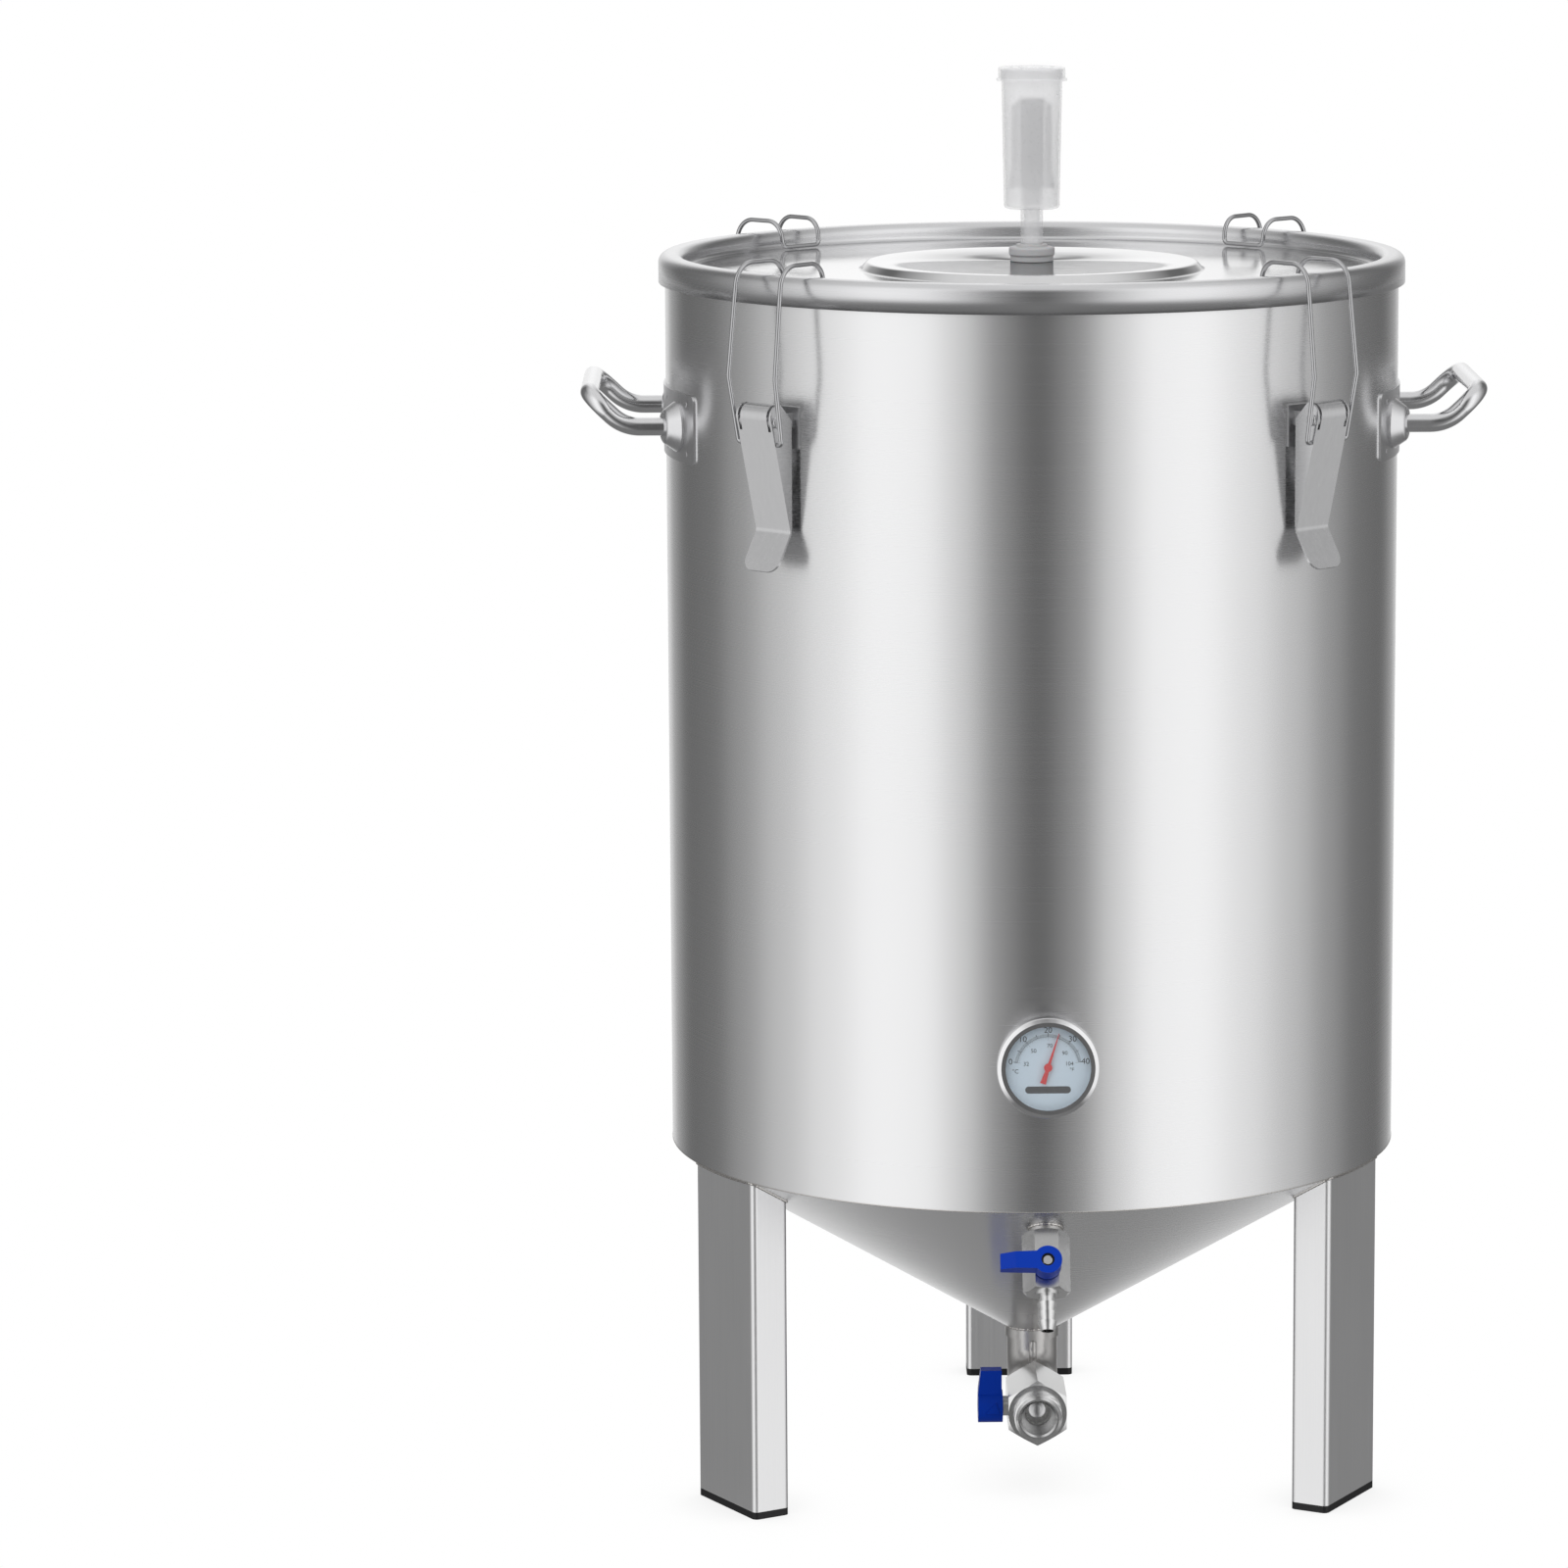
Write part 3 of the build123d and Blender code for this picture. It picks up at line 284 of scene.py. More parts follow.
finishes = {
    "brushedBarrel": steel("brushedBarrel", (0.79, 0.79, 0.795), 0.27, 0.012, (1.5, 1.5, 1300), 0.02,
                           0.75, shade=0.018),
    "polishedLid": steel("polishedLid", (0.78, 0.78, 0.785), 0.10, 0.02, (60, 60, 60), 0.01),
    "satinRim": steel("satinRim", (0.72, 0.72, 0.73), 0.27, 0.02, (3, 3, 700), 0.02, 0.5),
    "satinSteel": steel("satinSteel", (0.72, 0.72, 0.73), 0.30, 0.03, (900, 900, 14), 0.04),
    "legSteel": steel("legSteel", (0.80, 0.80, 0.805), 0.36, 0.03, (1100, 1100, 12), 0.05),
    "leverSteel": steel("leverSteel", (0.84, 0.84, 0.85), 0.24, 0.03, (500, 500, 40), 0.03),
    "wireSteel": steel("wireSteel", (0.50, 0.50, 0.51), 0.13, 0.02, (200, 200, 200), 0.02),
    "bandSteel": steel("bandSteel", (0.62, 0.62, 0.63), 0.30, 0.04, (30, 30, 900), 0.06),
    "brightSteel": steel("brightSteel", (0.76, 0.76, 0.77), 0.13, 0.03, (200, 200, 200), 0.02),
    "machinedSteel": steel("machinedSteel", (0.74, 0.74, 0.74), 0.20, 0.04, (400, 400, 400), 0.04),
    "castSteel": steel("castSteel", (0.60, 0.59, 0.58), 0.36, 0.05, (700, 700, 700), 0.30),
    "weldSteel": steel("weldSteel", (0.66, 0.64, 0.62), 0.28, 0.06, (500, 500, 500), 0.25),
    "silicone": plastic("silicone", (0.46, 0.46, 0.47), 0.5, Subsurface_Weight=0.1,
                        Subsurface_Scale=0.004),
    "frostedPlastic": plastic("frostedPlastic", (0.97, 0.97, 0.985), 0.30, 500.0, 0.02, 0.02,
                              Alpha=0.27),
    "bluePlastic": plastic("bluePlastic", (0.0, 0.036, 0.40), 0.36, 1400.0, 0.05, 0.06,
                           Specular_IOR_Level=0.14),
    # black plastic parts, and also the painted recess shade lining the screw recesses of the valve levers
    "blackPlasticAndRecessShade": plastic("blackPlasticAndRecessShade", (0.010, 0.010, 0.011), 0.45, Specular_IOR_Level=0.3),
    "whitePlastic": plastic("whitePlastic", (0.85, 0.85, 0.83), 0.4),
    "dialPaint": plastic("dialPaint", (0.60, 0.72, 0.82), 0.5, 2500.0, 0.02, 0.02),
    "dialInk": plastic("dialInk", (0.012, 0.016, 0.022), 0.45, 2500.0, 0.02, 0.02),
    "redPaint": plastic("redPaint", (0.62, 0.008, 0.012), 0.35, Specular_IOR_Level=0.3),
}


def clearGlass():
    material, tree, bsdf = shader("clearGlass")
    bsdf.inputs["Base Color"].default_value = (1, 1, 1, 1)
    bsdf.inputs["Roughness"].default_value = 0.02
    bsdf.inputs["Alpha"].default_value = 0.08
    return material


finishes["clearGlass"] = clearGlass()
slotFinish = {
    "brushed_barrel": "brushedBarrel", "polished_lid": "polishedLid", "satin_steel": "satinSteel",
    "bright_steel": "brightSteel", "machined_steel": "machinedSteel", "cast_steel": "castSteel",
    "silicone": "silicone", "frosted_plastic": "frostedPlastic", "blue_plastic": "bluePlastic",
    "black_plastic": "blackPlasticAndRecessShade", "white_ptfe": "whitePlastic", "dial_face": "dialPaint",
    "red_pointer": "redPaint", "glass": "clearGlass",
}
nodeSlot = {part["node"]: part["material_slot"] for part in frame["record"]["subparts"]}
ownFinish = {"leg_": "legSteel", "clamp_base": "bandSteel", "handle_plate": "satinSteel",
             "clamp_lever": "leverSteel", "clamp_bail": "wireSteel"}
for name, obj in nodes.items():
    chosen = slotFinish[nodeSlot[name]]
    for start, finish in ownFinish.items():
        chosen = finish if name.startswith(start) else chosen
    for materialSlot in obj.material_slots:
        materialSlot.material = finishes[chosen]
print("finishes made:", len(finishes))


# Barrel, cone and lid as turned sheets

vessel = {"radius": 200.0, "wall": 1.2, "coneAngle": 31.0, "outlet": 15.0, "segments": 360}
barrelLow, barrelHigh = (np.array(corner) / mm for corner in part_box("barrel"))
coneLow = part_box("cone")[0][2] / mm


def makeBarrel():
    outer, inner = vessel["radius"], vessel["radius"] - vessel["wall"]
    outline = roundOutline([(outer, barrelLow[2]), (outer, barrelHigh[2]),
                            (inner, barrelHigh[2]), (inner, barrelLow[2])], 0.35, 4)
    barrel = turned("barrelSheet", outline, finishes["brushedBarrel"], vessel["segments"])
    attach(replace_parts(barrel, "barrel"), "vessel")


def makeCone():
    outer, wall = vessel["radius"], vessel["wall"] / np.sin(radians(vessel["coneAngle"]))
    outline = roundOutline([(outer, barrelLow[2]), (outer - wall, barrelLow[2]),
                            (vessel["outlet"] - wall, coneLow), (vessel["outlet"], coneLow)],
                           [0.2, 0.2, 0.3, 0.3], 4)
    cone = turned("coneSheet", outline, finishes["brushedBarrel"], vessel["segments"])
    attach(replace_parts(cone, "cone"), "vessel")


makeBarrel()
makeCone()
print("vessel sheets turned")


def sheetOutline(points, radii, thickness, steps=8):
    # a bent sheet: the rounded line and the same line moved sideways to its left
    line = roundOutline(points, radii, steps, 0.25, closed=False)
    step = np.gradient(line, axis=0)
    step /= np.linalg.norm(step, axis=1)[:, None]
    moved = line + thickness * np.stack([-step[:, 1], step[:, 0]], 1)
    return np.concatenate([line, moved[::-1]])


lidSizes = {"radius": 203.5, "sheet": 1.0, "skirt": 15.5, "pan": 190.0, "panDepth": 9.5,
            "disc": 90.0, "discRise": 4.2, "discSlope": 4.0, "hole": 10.0,
            "bends": [0, 5, 5, 2.5, 2.5, 2.5, 0], "rimEdge": 1.3, "segments": 320}


def makeLid():
    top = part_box("lid")[1][2] / mm
    pan, disc = top - lidSizes["panDepth"], top - lidSizes["panDepth"] + lidSizes["discRise"]
    corners = [(lidSizes["radius"], top - lidSizes["skirt"]), (lidSizes["radius"], top),
               (lidSizes["pan"], top), (lidSizes["pan"], pan),
               (lidSizes["disc"] + lidSizes["discSlope"], pan), (lidSizes["disc"], disc),
               (lidSizes["hole"], disc)]
    outline = sheetOutline(corners, lidSizes["bends"], lidSizes["sheet"])
    lid = turned("lidSheet", outline, finishes["polishedLid"], lidSizes["segments"])
    lid.data.materials.append(finishes["satinRim"])
    centers = np.empty(len(lid.data.polygons) * 3)
    lid.data.polygons.foreach_get("center", centers)
    centers = centers.reshape(-1, 3)
    rimStart = (lidSizes["pan"] - lidSizes["rimEdge"]) * mm
    onRim = np.hypot(centers[:, 0], centers[:, 1]) > rimStart
    lid.data.polygons.foreach_set("material_index", onRim.astype(int))
    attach(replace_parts(lid, "lid"), "lid")


bungSizes = {"bore": 6.15, "collar": 8.6, "flange": 12.5, "waist": 11.7, "neck": 9.9}


def makeBung():
    low, high = (corner[2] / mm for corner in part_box("lid_bung"))
    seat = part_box("lid")[1][2] / mm - lidSizes["panDepth"] + lidSizes["discRise"]
    outline = roundOutline(
        [(bungSizes["bore"], high), (bungSizes["collar"], high), (bungSizes["collar"], high - 1.2),
         (bungSizes["flange"], high - 1.6), (bungSizes["flange"], high - 5.6),
         (bungSizes["waist"], high - 6.6), (bungSizes["waist"], seat), (bungSizes["neck"], seat),
         (bungSizes["neck"], low), (bungSizes["bore"], low)],
        [0.4, 0.7, 0.3, 1.3, 1.0, 0.8, 0.2, 0.1, 0.5, 0.3], 5, 0.05)
    bung = turned("bungRubber", outline, finishes["silicone"], 96)
    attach(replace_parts(bung, "lid_bung"), "lid")


makeLid()
makeBung()
print("lid and bung turned")


# Threaded outlet, cast rib and weld beads

outletSizes = {"outer": 13.2, "bore": 9.25, "port": 7.0, "insert": 12.45, "insertDepth": 4.0,
               "length": 12.0, "chamfer": 2.0, "pitch": 1.8, "depth": 1.0, "start": 0.7,
               "around": 144, "rows": 100}


def makeOutlet():
    # radius = smaller of the chamfer and root + depth * wave(length / pitch - turn), faded in
    low, high = (np.array(corner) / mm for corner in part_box("dump_outlet"))
    middle = np.array([0.0, high[1], (low[2] + high[2]) / 2])
    shoulder = outletSizes["insertDepth"]
    end = shoulder + outletSizes["length"]
    t = np.linspace(0, 2 * pi, outletSizes["around"], endpoint=False)
    start = shoulder + outletSizes["start"]
    along = np.linspace(start, end, outletSizes["rows"])[:, None]
    wave = np.abs(((along / outletSizes["pitch"] - t / (2 * pi)) % 1) * 2 - 1)
    crest = np.clip(wave * 1.3 - 0.15, 0, 1)
    faded = np.clip(along - start, 0, 1)
    thread = outletSizes["outer"] - outletSizes["depth"] * (1 - crest) * faded
    thread = np.minimum(thread, outletSizes["outer"] - outletSizes["chamfer"] + end - along)
    before = [(outletSizes["port"], 0), (outletSizes["insert"], 0),
              (outletSizes["insert"], shoulder), (outletSizes["outer"] - 0.2, shoulder)]
    after = [(outletSizes["bore"] + 1, end), (outletSizes["bore"], end - 1),
             (outletSizes["bore"], shoulder), (outletSizes["port"], shoulder)]
    rings = [[np.full(len(t), radius) for radius, place in side] for side in (before, after)]
    radii = np.stack([*rings[0], *thread, *rings[1]])
    places = [place for radius, place in before] + [*along[:, 0]] + [
        place for radius, place in after]
    x, z = radii * np.cos(t), radii * np.sin(t)
    y = np.broadcast_to(-np.array(places)[:, None], x.shape)
    verts = (np.stack([x, y, z], -1) + middle) * mm
    outlet = meshObject("outletThread", verts.reshape(-1, 3),
                        gridFaces(*radii.shape, True, True), finishes["machinedSteel"])
    faceOutwards(outlet)
    outlet.data.set_sharp_from_angle(angle=radians(38))
    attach(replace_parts(outlet, "dump_outlet"), "vessel")


def tube(name, path, half, material, up, sides=12, ripple=0.0, pitch=2.2, closed=False):
    # each ring = path point + across * wide * cos s + rise * tall * sin s, swelling every pitch
    path, up = np.asarray(path, float), np.asarray(up, float)
    step = np.roll(path, -1, 0) - np.roll(path, 1, 0) if closed else np.gradient(path, axis=0)
    step /= np.linalg.norm(step, axis=1)[:, None]
    up = np.broadcast_to(up, path.shape)
    across = np.cross(step, up)
    across /= np.linalg.norm(across, axis=1)[:, None]
    rise = np.cross(across, step)
    run = np.concatenate([[0], np.cumsum(np.linalg.norm(np.diff(path, axis=0), axis=1))])
    swell = 1 + ripple * (np.abs(np.sin(run * pi / pitch)) - 0.6)
    if not closed:
        swell[[0, -1]] = 0.02
    s = np.linspace(0, 2 * pi, sides, endpoint=False)
    rings = (path[:, None] + across[:, None] * (half[0] * swell)[:, None, None] * np.cos(s)[:, None]
             + rise[:, None] * (half[1] * swell)[:, None, None] * np.sin(s)[:, None])
    obj = meshObject(name, rings.reshape(-1, 3) * mm, gridFaces(len(path), sides, closed, True),
                     material)
    faceOutwards(obj)
    return obj


elbow = {"radius": 14.0, "bend": 19.5, "drop": 5.2, "ribHalf": (2.1, 1.1), "ribRun": (6, 12)}


def makeRib():
    # moulding rib down the front of the cast elbow and round its inner bend
    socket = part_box("dump_socket")[0][2] / mm
    radius, bend, drop = elbow["radius"], elbow["bend"], elbow["drop"]
    t = np.linspace(0, pi / 2, 14)
    curve = np.stack([0 * t, -bend + (bend - radius) * np.cos(t),
                      socket - drop - (bend - radius) * np.sin(t)], 1)
    top = np.array([[0, -radius, socket - 0.3], [0, -radius, socket - 1.2]])
    last = np.array([[0, -bend - run, curve[-1, 2]] for run in elbow["ribRun"]])
    path = np.concatenate([top, curve, last])
    up = np.concatenate([np.tile([0, -1.0, 0], (2, 1)),
                         np.stack([0 * t, -np.cos(t), np.sin(t)], 1), np.tile([0, 0, 1.0], (2, 1))])
    rib = tube("elbowRib", path, elbow["ribHalf"], finishes["castSteel"], up)
    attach(rib, "vessel")


def coneHeight(reach):
    return barrelLow[2] - (vessel["radius"] - reach) * np.tan(radians(vessel["coneAngle"]))


# racking socket's place and radius, leg sections, and each bead's half width and half height
racking = {"reach": 176.0, "radius": 9.0}
legs = {"angles": {"right": 60, "rear": 180, "left": 300}, "face": 197.6, "half": 31.0,
        "deep": 22.0, "corner": 3}
beadSizes = {"socket": (0.9, 0.9), "racking": (0.8, 0.8), "barrel": (0.5, 0.45),
             "leg": (0.95, 0.8), "sunk": 0.3, "pitch": 2.4}


def makeWelds():
    # rippled beads round both sockets and the tops of the legs, and a smooth one under the barrel
    t = np.linspace(0, 2 * pi, 140, endpoint=False)
    socket = vessel["outlet"]
    ring = np.stack([socket * np.cos(t), socket * np.sin(t),
                     0 * t + coneHeight(socket) + beadSizes["sunk"]], 1)
    beads = [("socketBead", ring, beadSizes["socket"], 0.35)]
    t = np.linspace(0, 2 * pi, 90, endpoint=False)
    slope = radians(vessel["coneAngle"])
    reach, radius = racking["reach"], racking["radius"]
    ring = np.stack([radius * np.cos(t), -reach - radius * np.sin(t) * np.cos(slope),
                     coneHeight(reach) + radius * np.sin(t) * np.sin(slope)], 1)
    beads.append(("rackingBead", ring, beadSizes["racking"], 0.35))
    t = np.linspace(0, 2 * pi, 400, endpoint=False)
    edge = vessel["radius"] - beadSizes["sunk"]
    ring = np.stack([edge * np.cos(t), edge * np.sin(t), 0 * t + barrelLow[2]], 1)
    beads.append(("barrelBead", ring, beadSizes["barrel"], 0.06))
    for side, angle in legs["angles"].items():
        away = np.array([np.sin(radians(angle)), -np.cos(radians(angle)), 0])
        along = np.array([away[1], -away[0], 0])
        face, half, back = legs["face"], legs["half"], legs["face"] - legs["deep"]
        flat = roundOutline([(back, -half), (face, -half), (face, half), (back, half)],
                            [0, legs["corner"], legs["corner"], 0], 6, 0.3, closed=False)
        runs = [np.linspace(here, there, max(2, int(np.linalg.norm(there - here))), endpoint=False)
                for here, there in zip(flat, flat[1:])]
        flat = np.concatenate([*runs, flat[-1:]])
        height = np.minimum(coneHeight(np.linalg.norm(flat, axis=1)), barrelLow[2]) - 0.2
        path = flat[:, :1] * away + flat[:, 1:] * along + np.array([0, 0, 1]) * height[:, None]
        beads.append(("legBead." + side, path, beadSizes["leg"], 0.3))
    for name, path, half, ripple in beads:
        bead = tube(name, path, half, finishes["weldSteel"], (0, 0, 1), 10, ripple,
                    beadSizes["pitch"], closed="leg" not in name)
        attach(bead, "vessel")


seamSizes = {"width": 2.2, "proud": 0.14, "angle": 180.0, "rows": 420}


def makeSeam():
    # the barrel's upright weld at the back: a low crowned strip with fine ripples
    height = np.linspace(barrelLow[2] + 1, barrelHigh[2] - 12, seamSizes["rows"])[:, None]
    u = np.linspace(-1, 1, 9)
    angle = radians(seamSizes["angle"]) + u * seamSizes["width"] / vessel["radius"]
    crown = seamSizes["proud"] * (1 - u ** 2) * (1 + 0.25 * np.sin(height * 2 * pi / 2.6))
    reach = vessel["radius"] - 0.05 + crown
    grid = np.stack([reach * np.sin(angle), -reach * np.cos(angle),
                     np.broadcast_to(height, reach.shape)], -1)
    inner = grid.copy()
    inner[..., :2] *= (vessel["radius"] - 0.5) / reach[..., None]
    loop = np.concatenate([grid, inner[:, ::-1]], 1)
    seam = meshObject("barrelSeam", loop.reshape(-1, 3) * mm,
                      gridFaces(loop.shape[0], loop.shape[1], False, True), finishes["weldSteel"])
    faceOutwards(seam)
    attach(seam, "vessel")


spotSizes = {"profile": [(0, 0.22), (0.7, 0.2), (1.3, 0.1), (1.7, -0.1), (1.7, -0.5), (0, -0.5)],
             "swings": (-20.5, -8.5, 8.5, 20.5), "rises": (-13.5, 13.5), "reach": 201.2,
             "height": 589.0}


def makeSpots():
    # shallow spot-weld marks in the corners of the handle plates: low domes facing outwards
    profile = np.array(spotSizes["profile"])
    count = 0
    for side in (90, -90):
        for swing in spotSizes["swings"]:
            for rise in spotSizes["rises"]:
                angle = radians(side + swing)
                away = np.array([np.sin(angle), -np.cos(angle), 0])
                place = away * spotSizes["reach"] + np.array([0, 0, spotSizes["height"] + rise])
                spot = turned("spotWeld.%02d" % count, profile, finishes["satinSteel"], 20,
                              place * mm, away, closed=False)
                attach(spot, "vessel")
                count += 1


makeOutlet()
makeRib()
makeWelds()
makeSeam()
makeSpots()
print("outlet, rib and welds made")


# Dial marks: ticks, plain numbers and a blank plate, all on the dial's front

# radii and lengths of the scale's lines, then the numbers, the unit signs and the blank plate
dial = {"turn": 81.0, "celsius": (16.3, 17.7, 18.3), "fahrenheit": (16.0, 0.9, 1.5),
        "arc": (16.25, 16.1), "lines": (0.34, 0.2, 0.12), "numbers": 19.9, "inner": 11.6,
        "digit": 3.1, "innerDigit": 2.1, "digitShare": 0.7,
        "units": [("celsiusMark", "\u00b0C", 2.2, -97, 17.2),
                  ("fahrenheitMark", "\u00b0F", 1.9, 96, 12.6)],
        "plate": (24.0, 3.8), "plateDrop": 12.2, "thick": 0.05}
dialLow, dialHigh = (np.array(corner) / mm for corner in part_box("thermometer_dial"))
dialFront, dialMiddle = dialLow[1], (dialLow[2] + dialHigh[2]) / 2


def dialPoints(flat):
    # (right, up) on the dial to a place just in front of it
    flat = np.asarray(flat, float)
    return np.stack([flat[:, 0], np.full(len(flat), dialFront), flat[:, 1] + dialMiddle], 1)


def flatPrism(outlines, front):
    # closed low prisms: a front and a back outline with quads between
    verts, faces, start = [], [], 0
    for outline in outlines:
        count = len(outline)
        back = dialPoints(outline)
        verts += [back, back - np.array([0, front, 0])]
        faces.append(tuple(range(start, start + count)))
        faces.append(tuple(range(start + 2 * count - 1, start + count - 1, -1)))
        faces += [(start + i, start + (i + 1) % count, start + count + (i + 1) % count,
                   start + count + i) for i in range(count)]
        start += 2 * count
    return np.concatenate(verts) * mm, faces


def inkObject(name, outlines):
    verts, faces = flatPrism(outlines, dial["thick"])
    mesh = bpy.data.meshes.new(name)
    mesh.from_pydata(verts.tolist(), [], faces)
    mesh.update()
    mesh.materials.append(finishes["dialInk"])
    obj = bpy.data.objects.new(name, mesh)
    scene.collection.objects.link(obj)
    faceOutwards(obj)
    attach(obj, "vessel")


def tick(angle, inner, outer, width):
    away = np.array([np.sin(angle), np.cos(angle)])
    side = np.array([away[1], -away[0]]) * width / 2
    return [away * inner - side, away * inner + side, away * outer + side, away * outer - side]


def makeTicks():
    span = radians(dial["turn"])
    thick, thin, fine = dial["lines"]
    inner, short, tall = dial["celsius"]
    marks = [tick(span * (i / 40 - 1), inner, tall if i % 10 == 0 else short,
                  thick if i % 10 == 0 else thin) for i in range(81)]
    outer, short, tall = dial["fahrenheit"]
    marks += [tick(span * (i / 36 * 2 - 1), outer - (tall if i % 9 == 0 else short), outer, fine)
              for i in range(37)]
    arc = np.linspace(-span, span, 60)
    ring = [np.stack([r * np.sin(a), r * np.cos(a)], 1)
            for r, a in zip(dial["arc"], (arc, arc[::-1]))]
    inkObject("dialTicks", marks + [np.concatenate(ring)])
    wide, tall = dial["plate"]
    plate = roundOutline([(-wide / 2, -tall / 2), (wide / 2, -tall / 2), (wide / 2, tall / 2),
                          (-wide / 2, tall / 2)], tall / 2 - 0.05, 9, 0.0)
    inkObject("dialPlate", [plate - np.array([0, dial["plateDrop"]])])


def makeText(name, words, size, angle, reach):
    curve = bpy.data.curves.new(name, "FONT")
    curve.body = words
    curve.size = size * mm / dial["digitShare"]
    curve.align_x, curve.align_y = "CENTER", "CENTER"
    curve.extrude = dial["thick"] * mm / 2
    source = bpy.data.objects.new(name + "Curve", curve)
    scene.collection.objects.link(source)
    mesh = bpy.data.meshes.new_from_object(source.evaluated_get(
        bpy.context.evaluated_depsgraph_get()))
    bpy.data.objects.remove(source)
    flat = np.empty(len(mesh.vertices) * 3)
    mesh.vertices.foreach_get("co", flat)
    flat = flat.reshape(-1, 3)
    middle = (flat.min(0) + flat.max(0)) / 2
    x, y = reach * mm * np.sin(angle), reach * mm * np.cos(angle)
    placed = np.stack([flat[:, 0] - middle[0] + x, dialFront * mm - dial["thick"] * mm - flat[:, 2],
                       flat[:, 1] - middle[1] + y + dialMiddle * mm], 1)
    mesh.vertices.foreach_set("co", placed.ravel())
    mesh.materials.clear()
    mesh.materials.append(finishes["dialInk"])
    mesh.update()
    obj = bpy.data.objects.new(name, mesh)
    scene.collection.objects.link(obj)
    faceOutwards(obj)
    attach(obj, "vessel")


def makeNumbers():
    span = radians(dial["turn"])
    for value in range(0, 41, 10):
        makeText("celsius.%02d" % value, str(value), dial["digit"], span * (value / 20 - 1),
                 dial["numbers"])
    for value in (32, 50, 70, 90, 104):
        makeText("fahrenheit.%03d" % value, str(value), dial["innerDigit"],
                 span * ((value - 32) / 36 - 1), dial["inner"])
    for name, words, size, angle, reach in dial["units"]:
        makeText(name, words, size, radians(angle), reach)


makeTicks()
makeNumbers()
print("dial marked")


# Valve levers: a black ring lining each screw recess as painted shade of the deep recess, and a raised pointer on
# the dump lever

joints = {joint["name"]: joint for joint in frame["joints"]}
shadeRingSizes = {"outer": 3.44, "inner": 2.46, "floor": {"racking": 20.0, "dump": 28.7}}
pointerMark = {"reach": 71.35, "deep": 1.4, "left": 28.4, "right": 20.6, "peak": 22.6,
               "low": -2.2, "high": 3.9}


def makeScrewRings():
    # each ring is a black lining down the recess wall round the screw: painted shade where the recess is deep, not
    # a part of its own
    outer, inner = shadeRingSizes["outer"], shadeRingSizes["inner"]
    for name, side in (("racking", 1), ("dump", -1)):
        joint = joints[name + "_turn"]
        floor = shadeRingSizes["floor"][name] + 0.02
        axis = np.array(joint["axis"], float) * side
        outline = [(inner, floor), (outer, floor), (outer, floor + 3.1), (inner, floor + 1.9)]
        ring = turned(name + "RecessShadeRing", outline, finishes["blackPlasticAndRecessShade"], 48,
                      joint["pos_m"], axis)
        ring.data.set_sharp_from_angle(angle=radians(40))
        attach(ring, name + "_handle")


def makePointerMark():
    middle = joints["dump_turn"]["pos_m"][2] / mm
    mark = pointerMark
    flat = [(-mark["left"], mark["low"]), (-mark["right"], mark["low"] - 0.2),
            (-mark["peak"], mark["high"])]
    front, back = -mark["reach"], -mark["reach"] + mark["deep"]
    verts = [(x, y, middle + z) for y in (front, back) for x, z in flat]
    faces = [(0, 1, 2), (5, 4, 3), (0, 3, 4, 1), (1, 4, 5, 2), (2, 5, 3, 0)]
    mesh = bpy.data.meshes.new("leverMark")
    mesh.from_pydata([tuple(c * mm for c in v) for v in verts], [], faces)
    mesh.materials.append(finishes["bluePlastic"])
    obj = bpy.data.objects.new("leverMark", mesh)
    scene.collection.objects.link(obj)
    faceOutwards(obj)
    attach(obj, "dump_handle")


makeScrewRings()
makePointerMark()
print("lever details made")


# Camera, floor and soft studio light

view = {"place": (-0.1458, -3.552, 0.9863), "pitch": 9.63, "turn": -2.35, "lens": 149.7,
        "shift": -0.158}
camera = bpy.data.objects.new("camera", bpy.data.cameras.new("camera"))
camera.location = view["place"]
camera.rotation_euler = (radians(90 - view["pitch"]), 0, radians(view["turn"]))
camera.data.lens = view["lens"]
camera.data.sensor_width = 36
camera.data.shift_x = view["shift"]
camera.data.clip_end = 200
scene.collection.objects.link(camera)
scene.camera = camera

studio = {
    "facing": -0.4,
    # brightness all round, by degrees away from the side that faces the camera
    "around": [(0, 0.10), (12, 0.30), (24, 0.78), (36, 1.12), (52, 1.16), (70, 0.93), (88, 0.64),
               (106, 0.36), (122, 0.19), (142, 0.15), (156, 0.36), (168, 0.85), (180, 1.05)],
    "above": 0.80, "below": 0.21, "floor": 1.0, "floorShade": 0.80, "shadeReach": 0.05,
    "topLight": 22, "lightSize": 1.6, "lightPlace": (-0.5, -1.4, 2.4), "lightAim": (0, 0, 0.4),
}


def rampNode(tree, source, stops, low, high):
    # brightness stops spread between low and high
    scaled = tree.nodes.new("ShaderNodeMapRange")
    scaled.inputs["From Min"].default_value = low
    scaled.inputs["From Max"].default_value = high
    tree.links.new(source, scaled.inputs["Value"])
    ramp = tree.nodes.new("ShaderNodeValToRGB")
    ramp.color_ramp.interpolation = "EASE"
    elements = ramp.color_ramp.elements
    for i, (place, level) in enumerate(stops):
        element = elements[i] if i < 2 else elements.new((place - low) / (high - low))
        element.position = (place - low) / (high - low)
        element.color = (level, level, level, 1)
    tree.links.new(scaled.outputs["Result"], ramp.inputs["Fac"])
    return ramp.outputs["Color"]


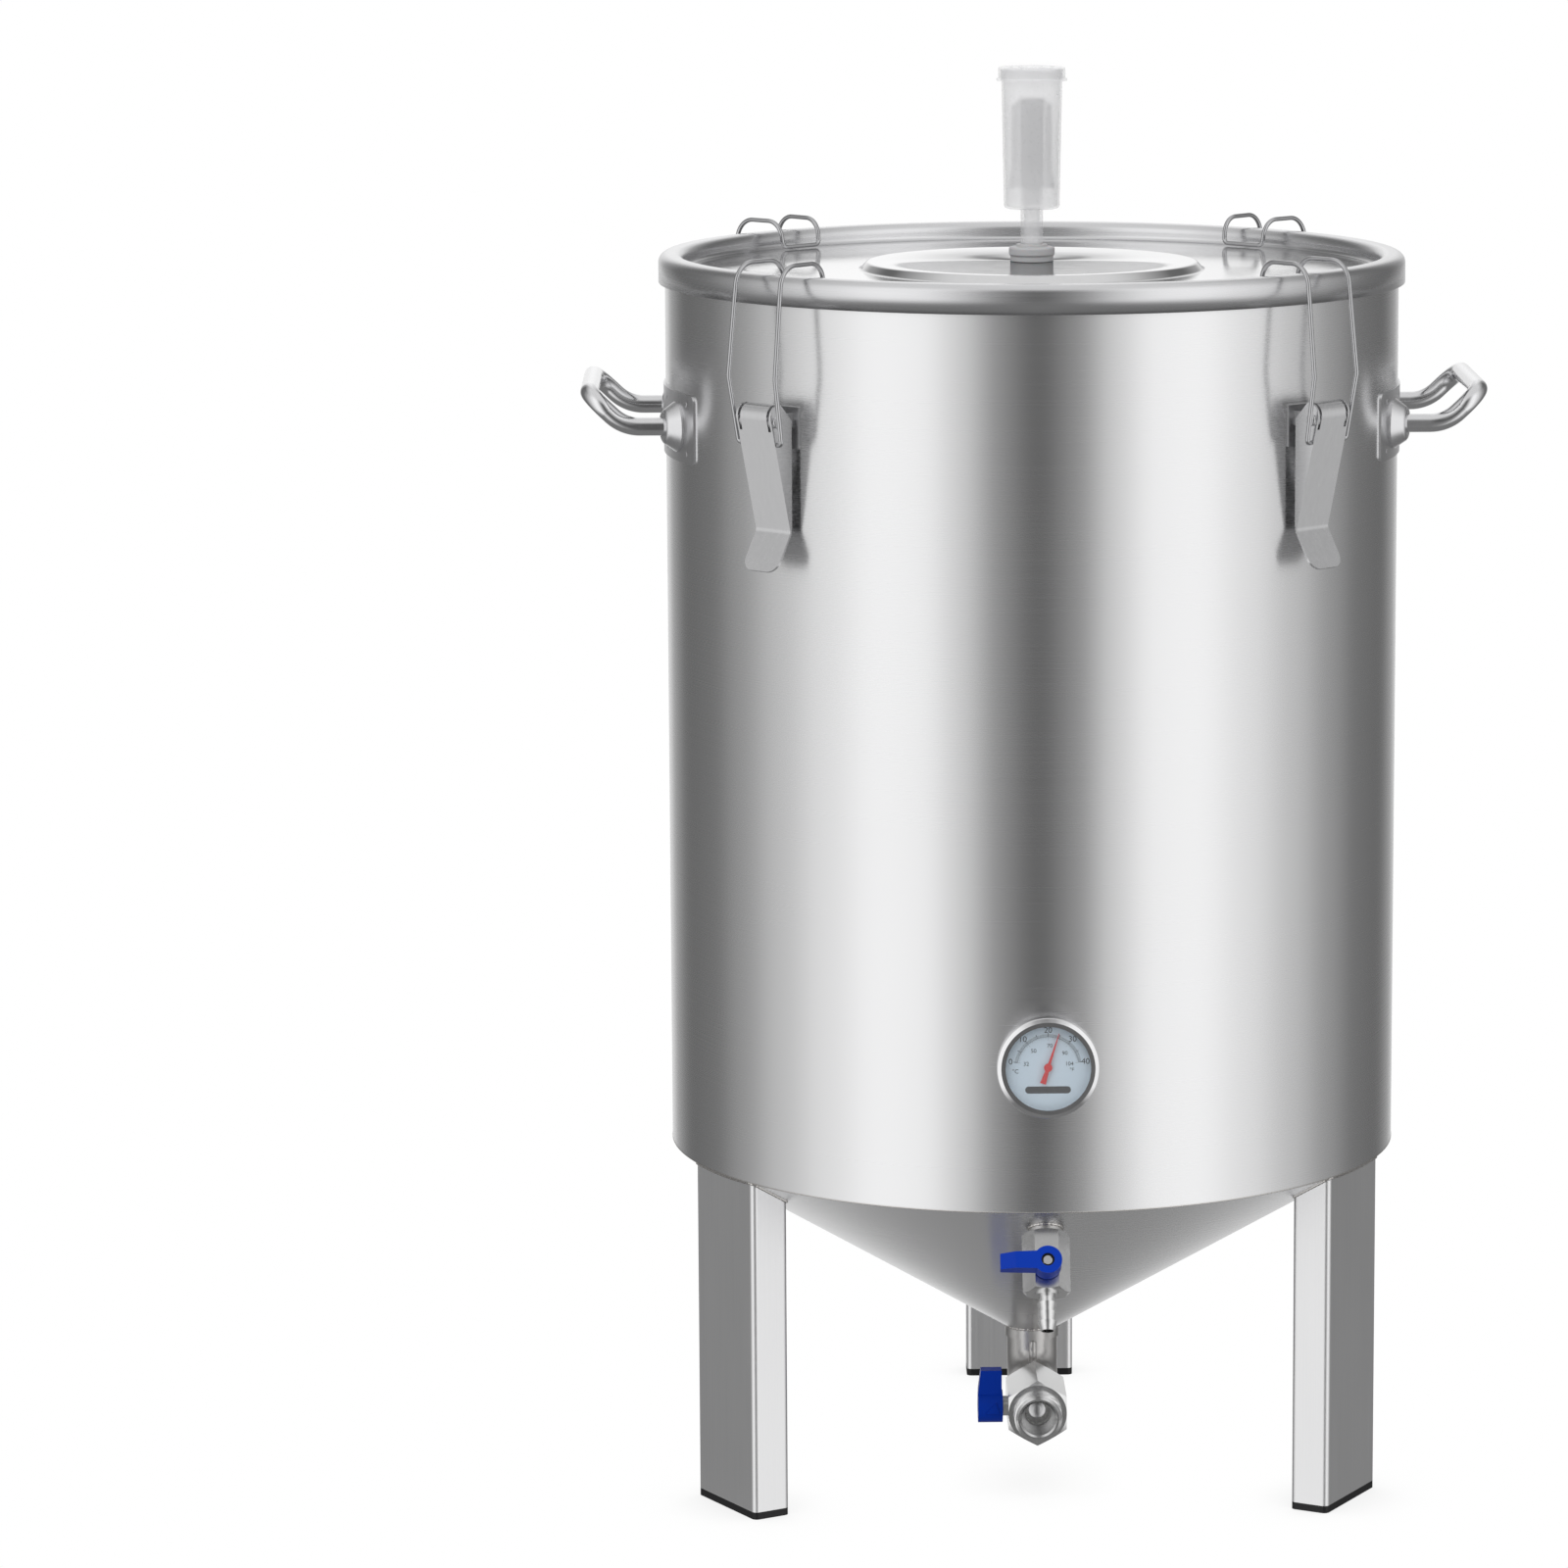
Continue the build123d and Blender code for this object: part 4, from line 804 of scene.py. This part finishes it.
def makeSky():
    # a ring of soft boxes and dark flags round the object, paler above, dim below, white where seen
    world = bpy.data.worlds.new("studio")
    scene.world = world
    world.use_nodes = True
    tree = world.node_tree
    coords = tree.nodes.new("ShaderNodeTexCoord")
    turnedSky = tree.nodes.new("ShaderNodeVectorRotate")
    turnedSky.rotation_type = "Z_AXIS"
    turnedSky.inputs["Angle"].default_value = radians(-studio["facing"])
    tree.links.new(coords.outputs["Generated"], turnedSky.inputs["Vector"])
    parts = tree.nodes.new("ShaderNodeSeparateXYZ")
    tree.links.new(turnedSky.outputs[0], parts.inputs[0])

    def math(operation, first, second=None):
        node = tree.nodes.new("ShaderNodeMath")
        node.operation = operation
        for socket, value in zip(node.inputs, (first, second)):
            if isinstance(value, (int, float)):
                socket.default_value = value
            elif value is not None:
                tree.links.new(value, socket)
        return node.outputs[0]

    front = math("MULTIPLY", parts.outputs["Y"], -1)
    away = math("ABSOLUTE", math("ARCTAN2", parts.outputs["X"], front))
    ring = rampNode(tree, math("DEGREES", away), studio["around"], 0, 180)
    rise = math("DEGREES", math("ARCSINE", parts.outputs["Z"]))
    upper = mapRange(tree, rise, 0, 1, 35, 62)
    lower = mapRange(tree, rise, 0, 1, -30, -48)
    mixed = mixColors(tree, upper, ring, (studio["above"],) * 3)
    mixed = mixColors(tree, lower, mixed, (studio["below"],) * 3)
    path = tree.nodes.new("ShaderNodeLightPath")
    seen = mixColors(tree, path.outputs["Is Camera Ray"], mixed, (1.0,) * 3)
    tree.links.new(seen, tree.nodes["Background"].inputs["Color"])


def makeFloor():
    size = 30.0
    corners = [(-size, -size, 0), (size, -size, 0), (size, size, 0), (-size, size, 0)]
    floor = meshObject("floor", corners, [(0, 1, 2, 3)], bpy.data.materials.new("floor"))
    material = floor.data.materials[0]
    material.use_nodes = True
    tree = material.node_tree
    tree.nodes.clear()
    # painted contact shadow: the floor's even glow darkens towards floorShade where the AO node finds parts close
    # above
    shade = tree.nodes.new("ShaderNodeAmbientOcclusion")
    shade.inputs["Distance"].default_value = studio["shadeReach"]
    shade.samples = 8
    glow = tree.nodes.new("ShaderNodeEmission")
    uncovered = mapRange(tree, shade.outputs["AO"], 0, 1, 0.2, 0.9)
    tone = mixColors(tree, uncovered, (studio["floorShade"],) * 3, (studio["floor"],) * 3)
    tree.links.new(tone, glow.inputs["Color"])
    out = tree.nodes.new("ShaderNodeOutputMaterial")
    tree.links.new(glow.outputs[0], out.inputs["Surface"])
    floor.visible_glossy = False
    floor.visible_diffuse = False


def makeTopLight():
    light = bpy.data.objects.new("topLight", bpy.data.lights.new("topLight", "AREA"))
    light.data.size = studio["lightSize"]
    light.data.energy = studio["topLight"]
    light.location = studio["lightPlace"]
    aim = Vector(studio["lightAim"]) - light.location
    light.rotation_euler = aim.to_track_quat("-Z", "Y").to_euler()
    light.visible_camera = False
    light.visible_glossy = False
    scene.collection.objects.link(light)


makeSky()
makeFloor()
makeTopLight()
print("studio ready")
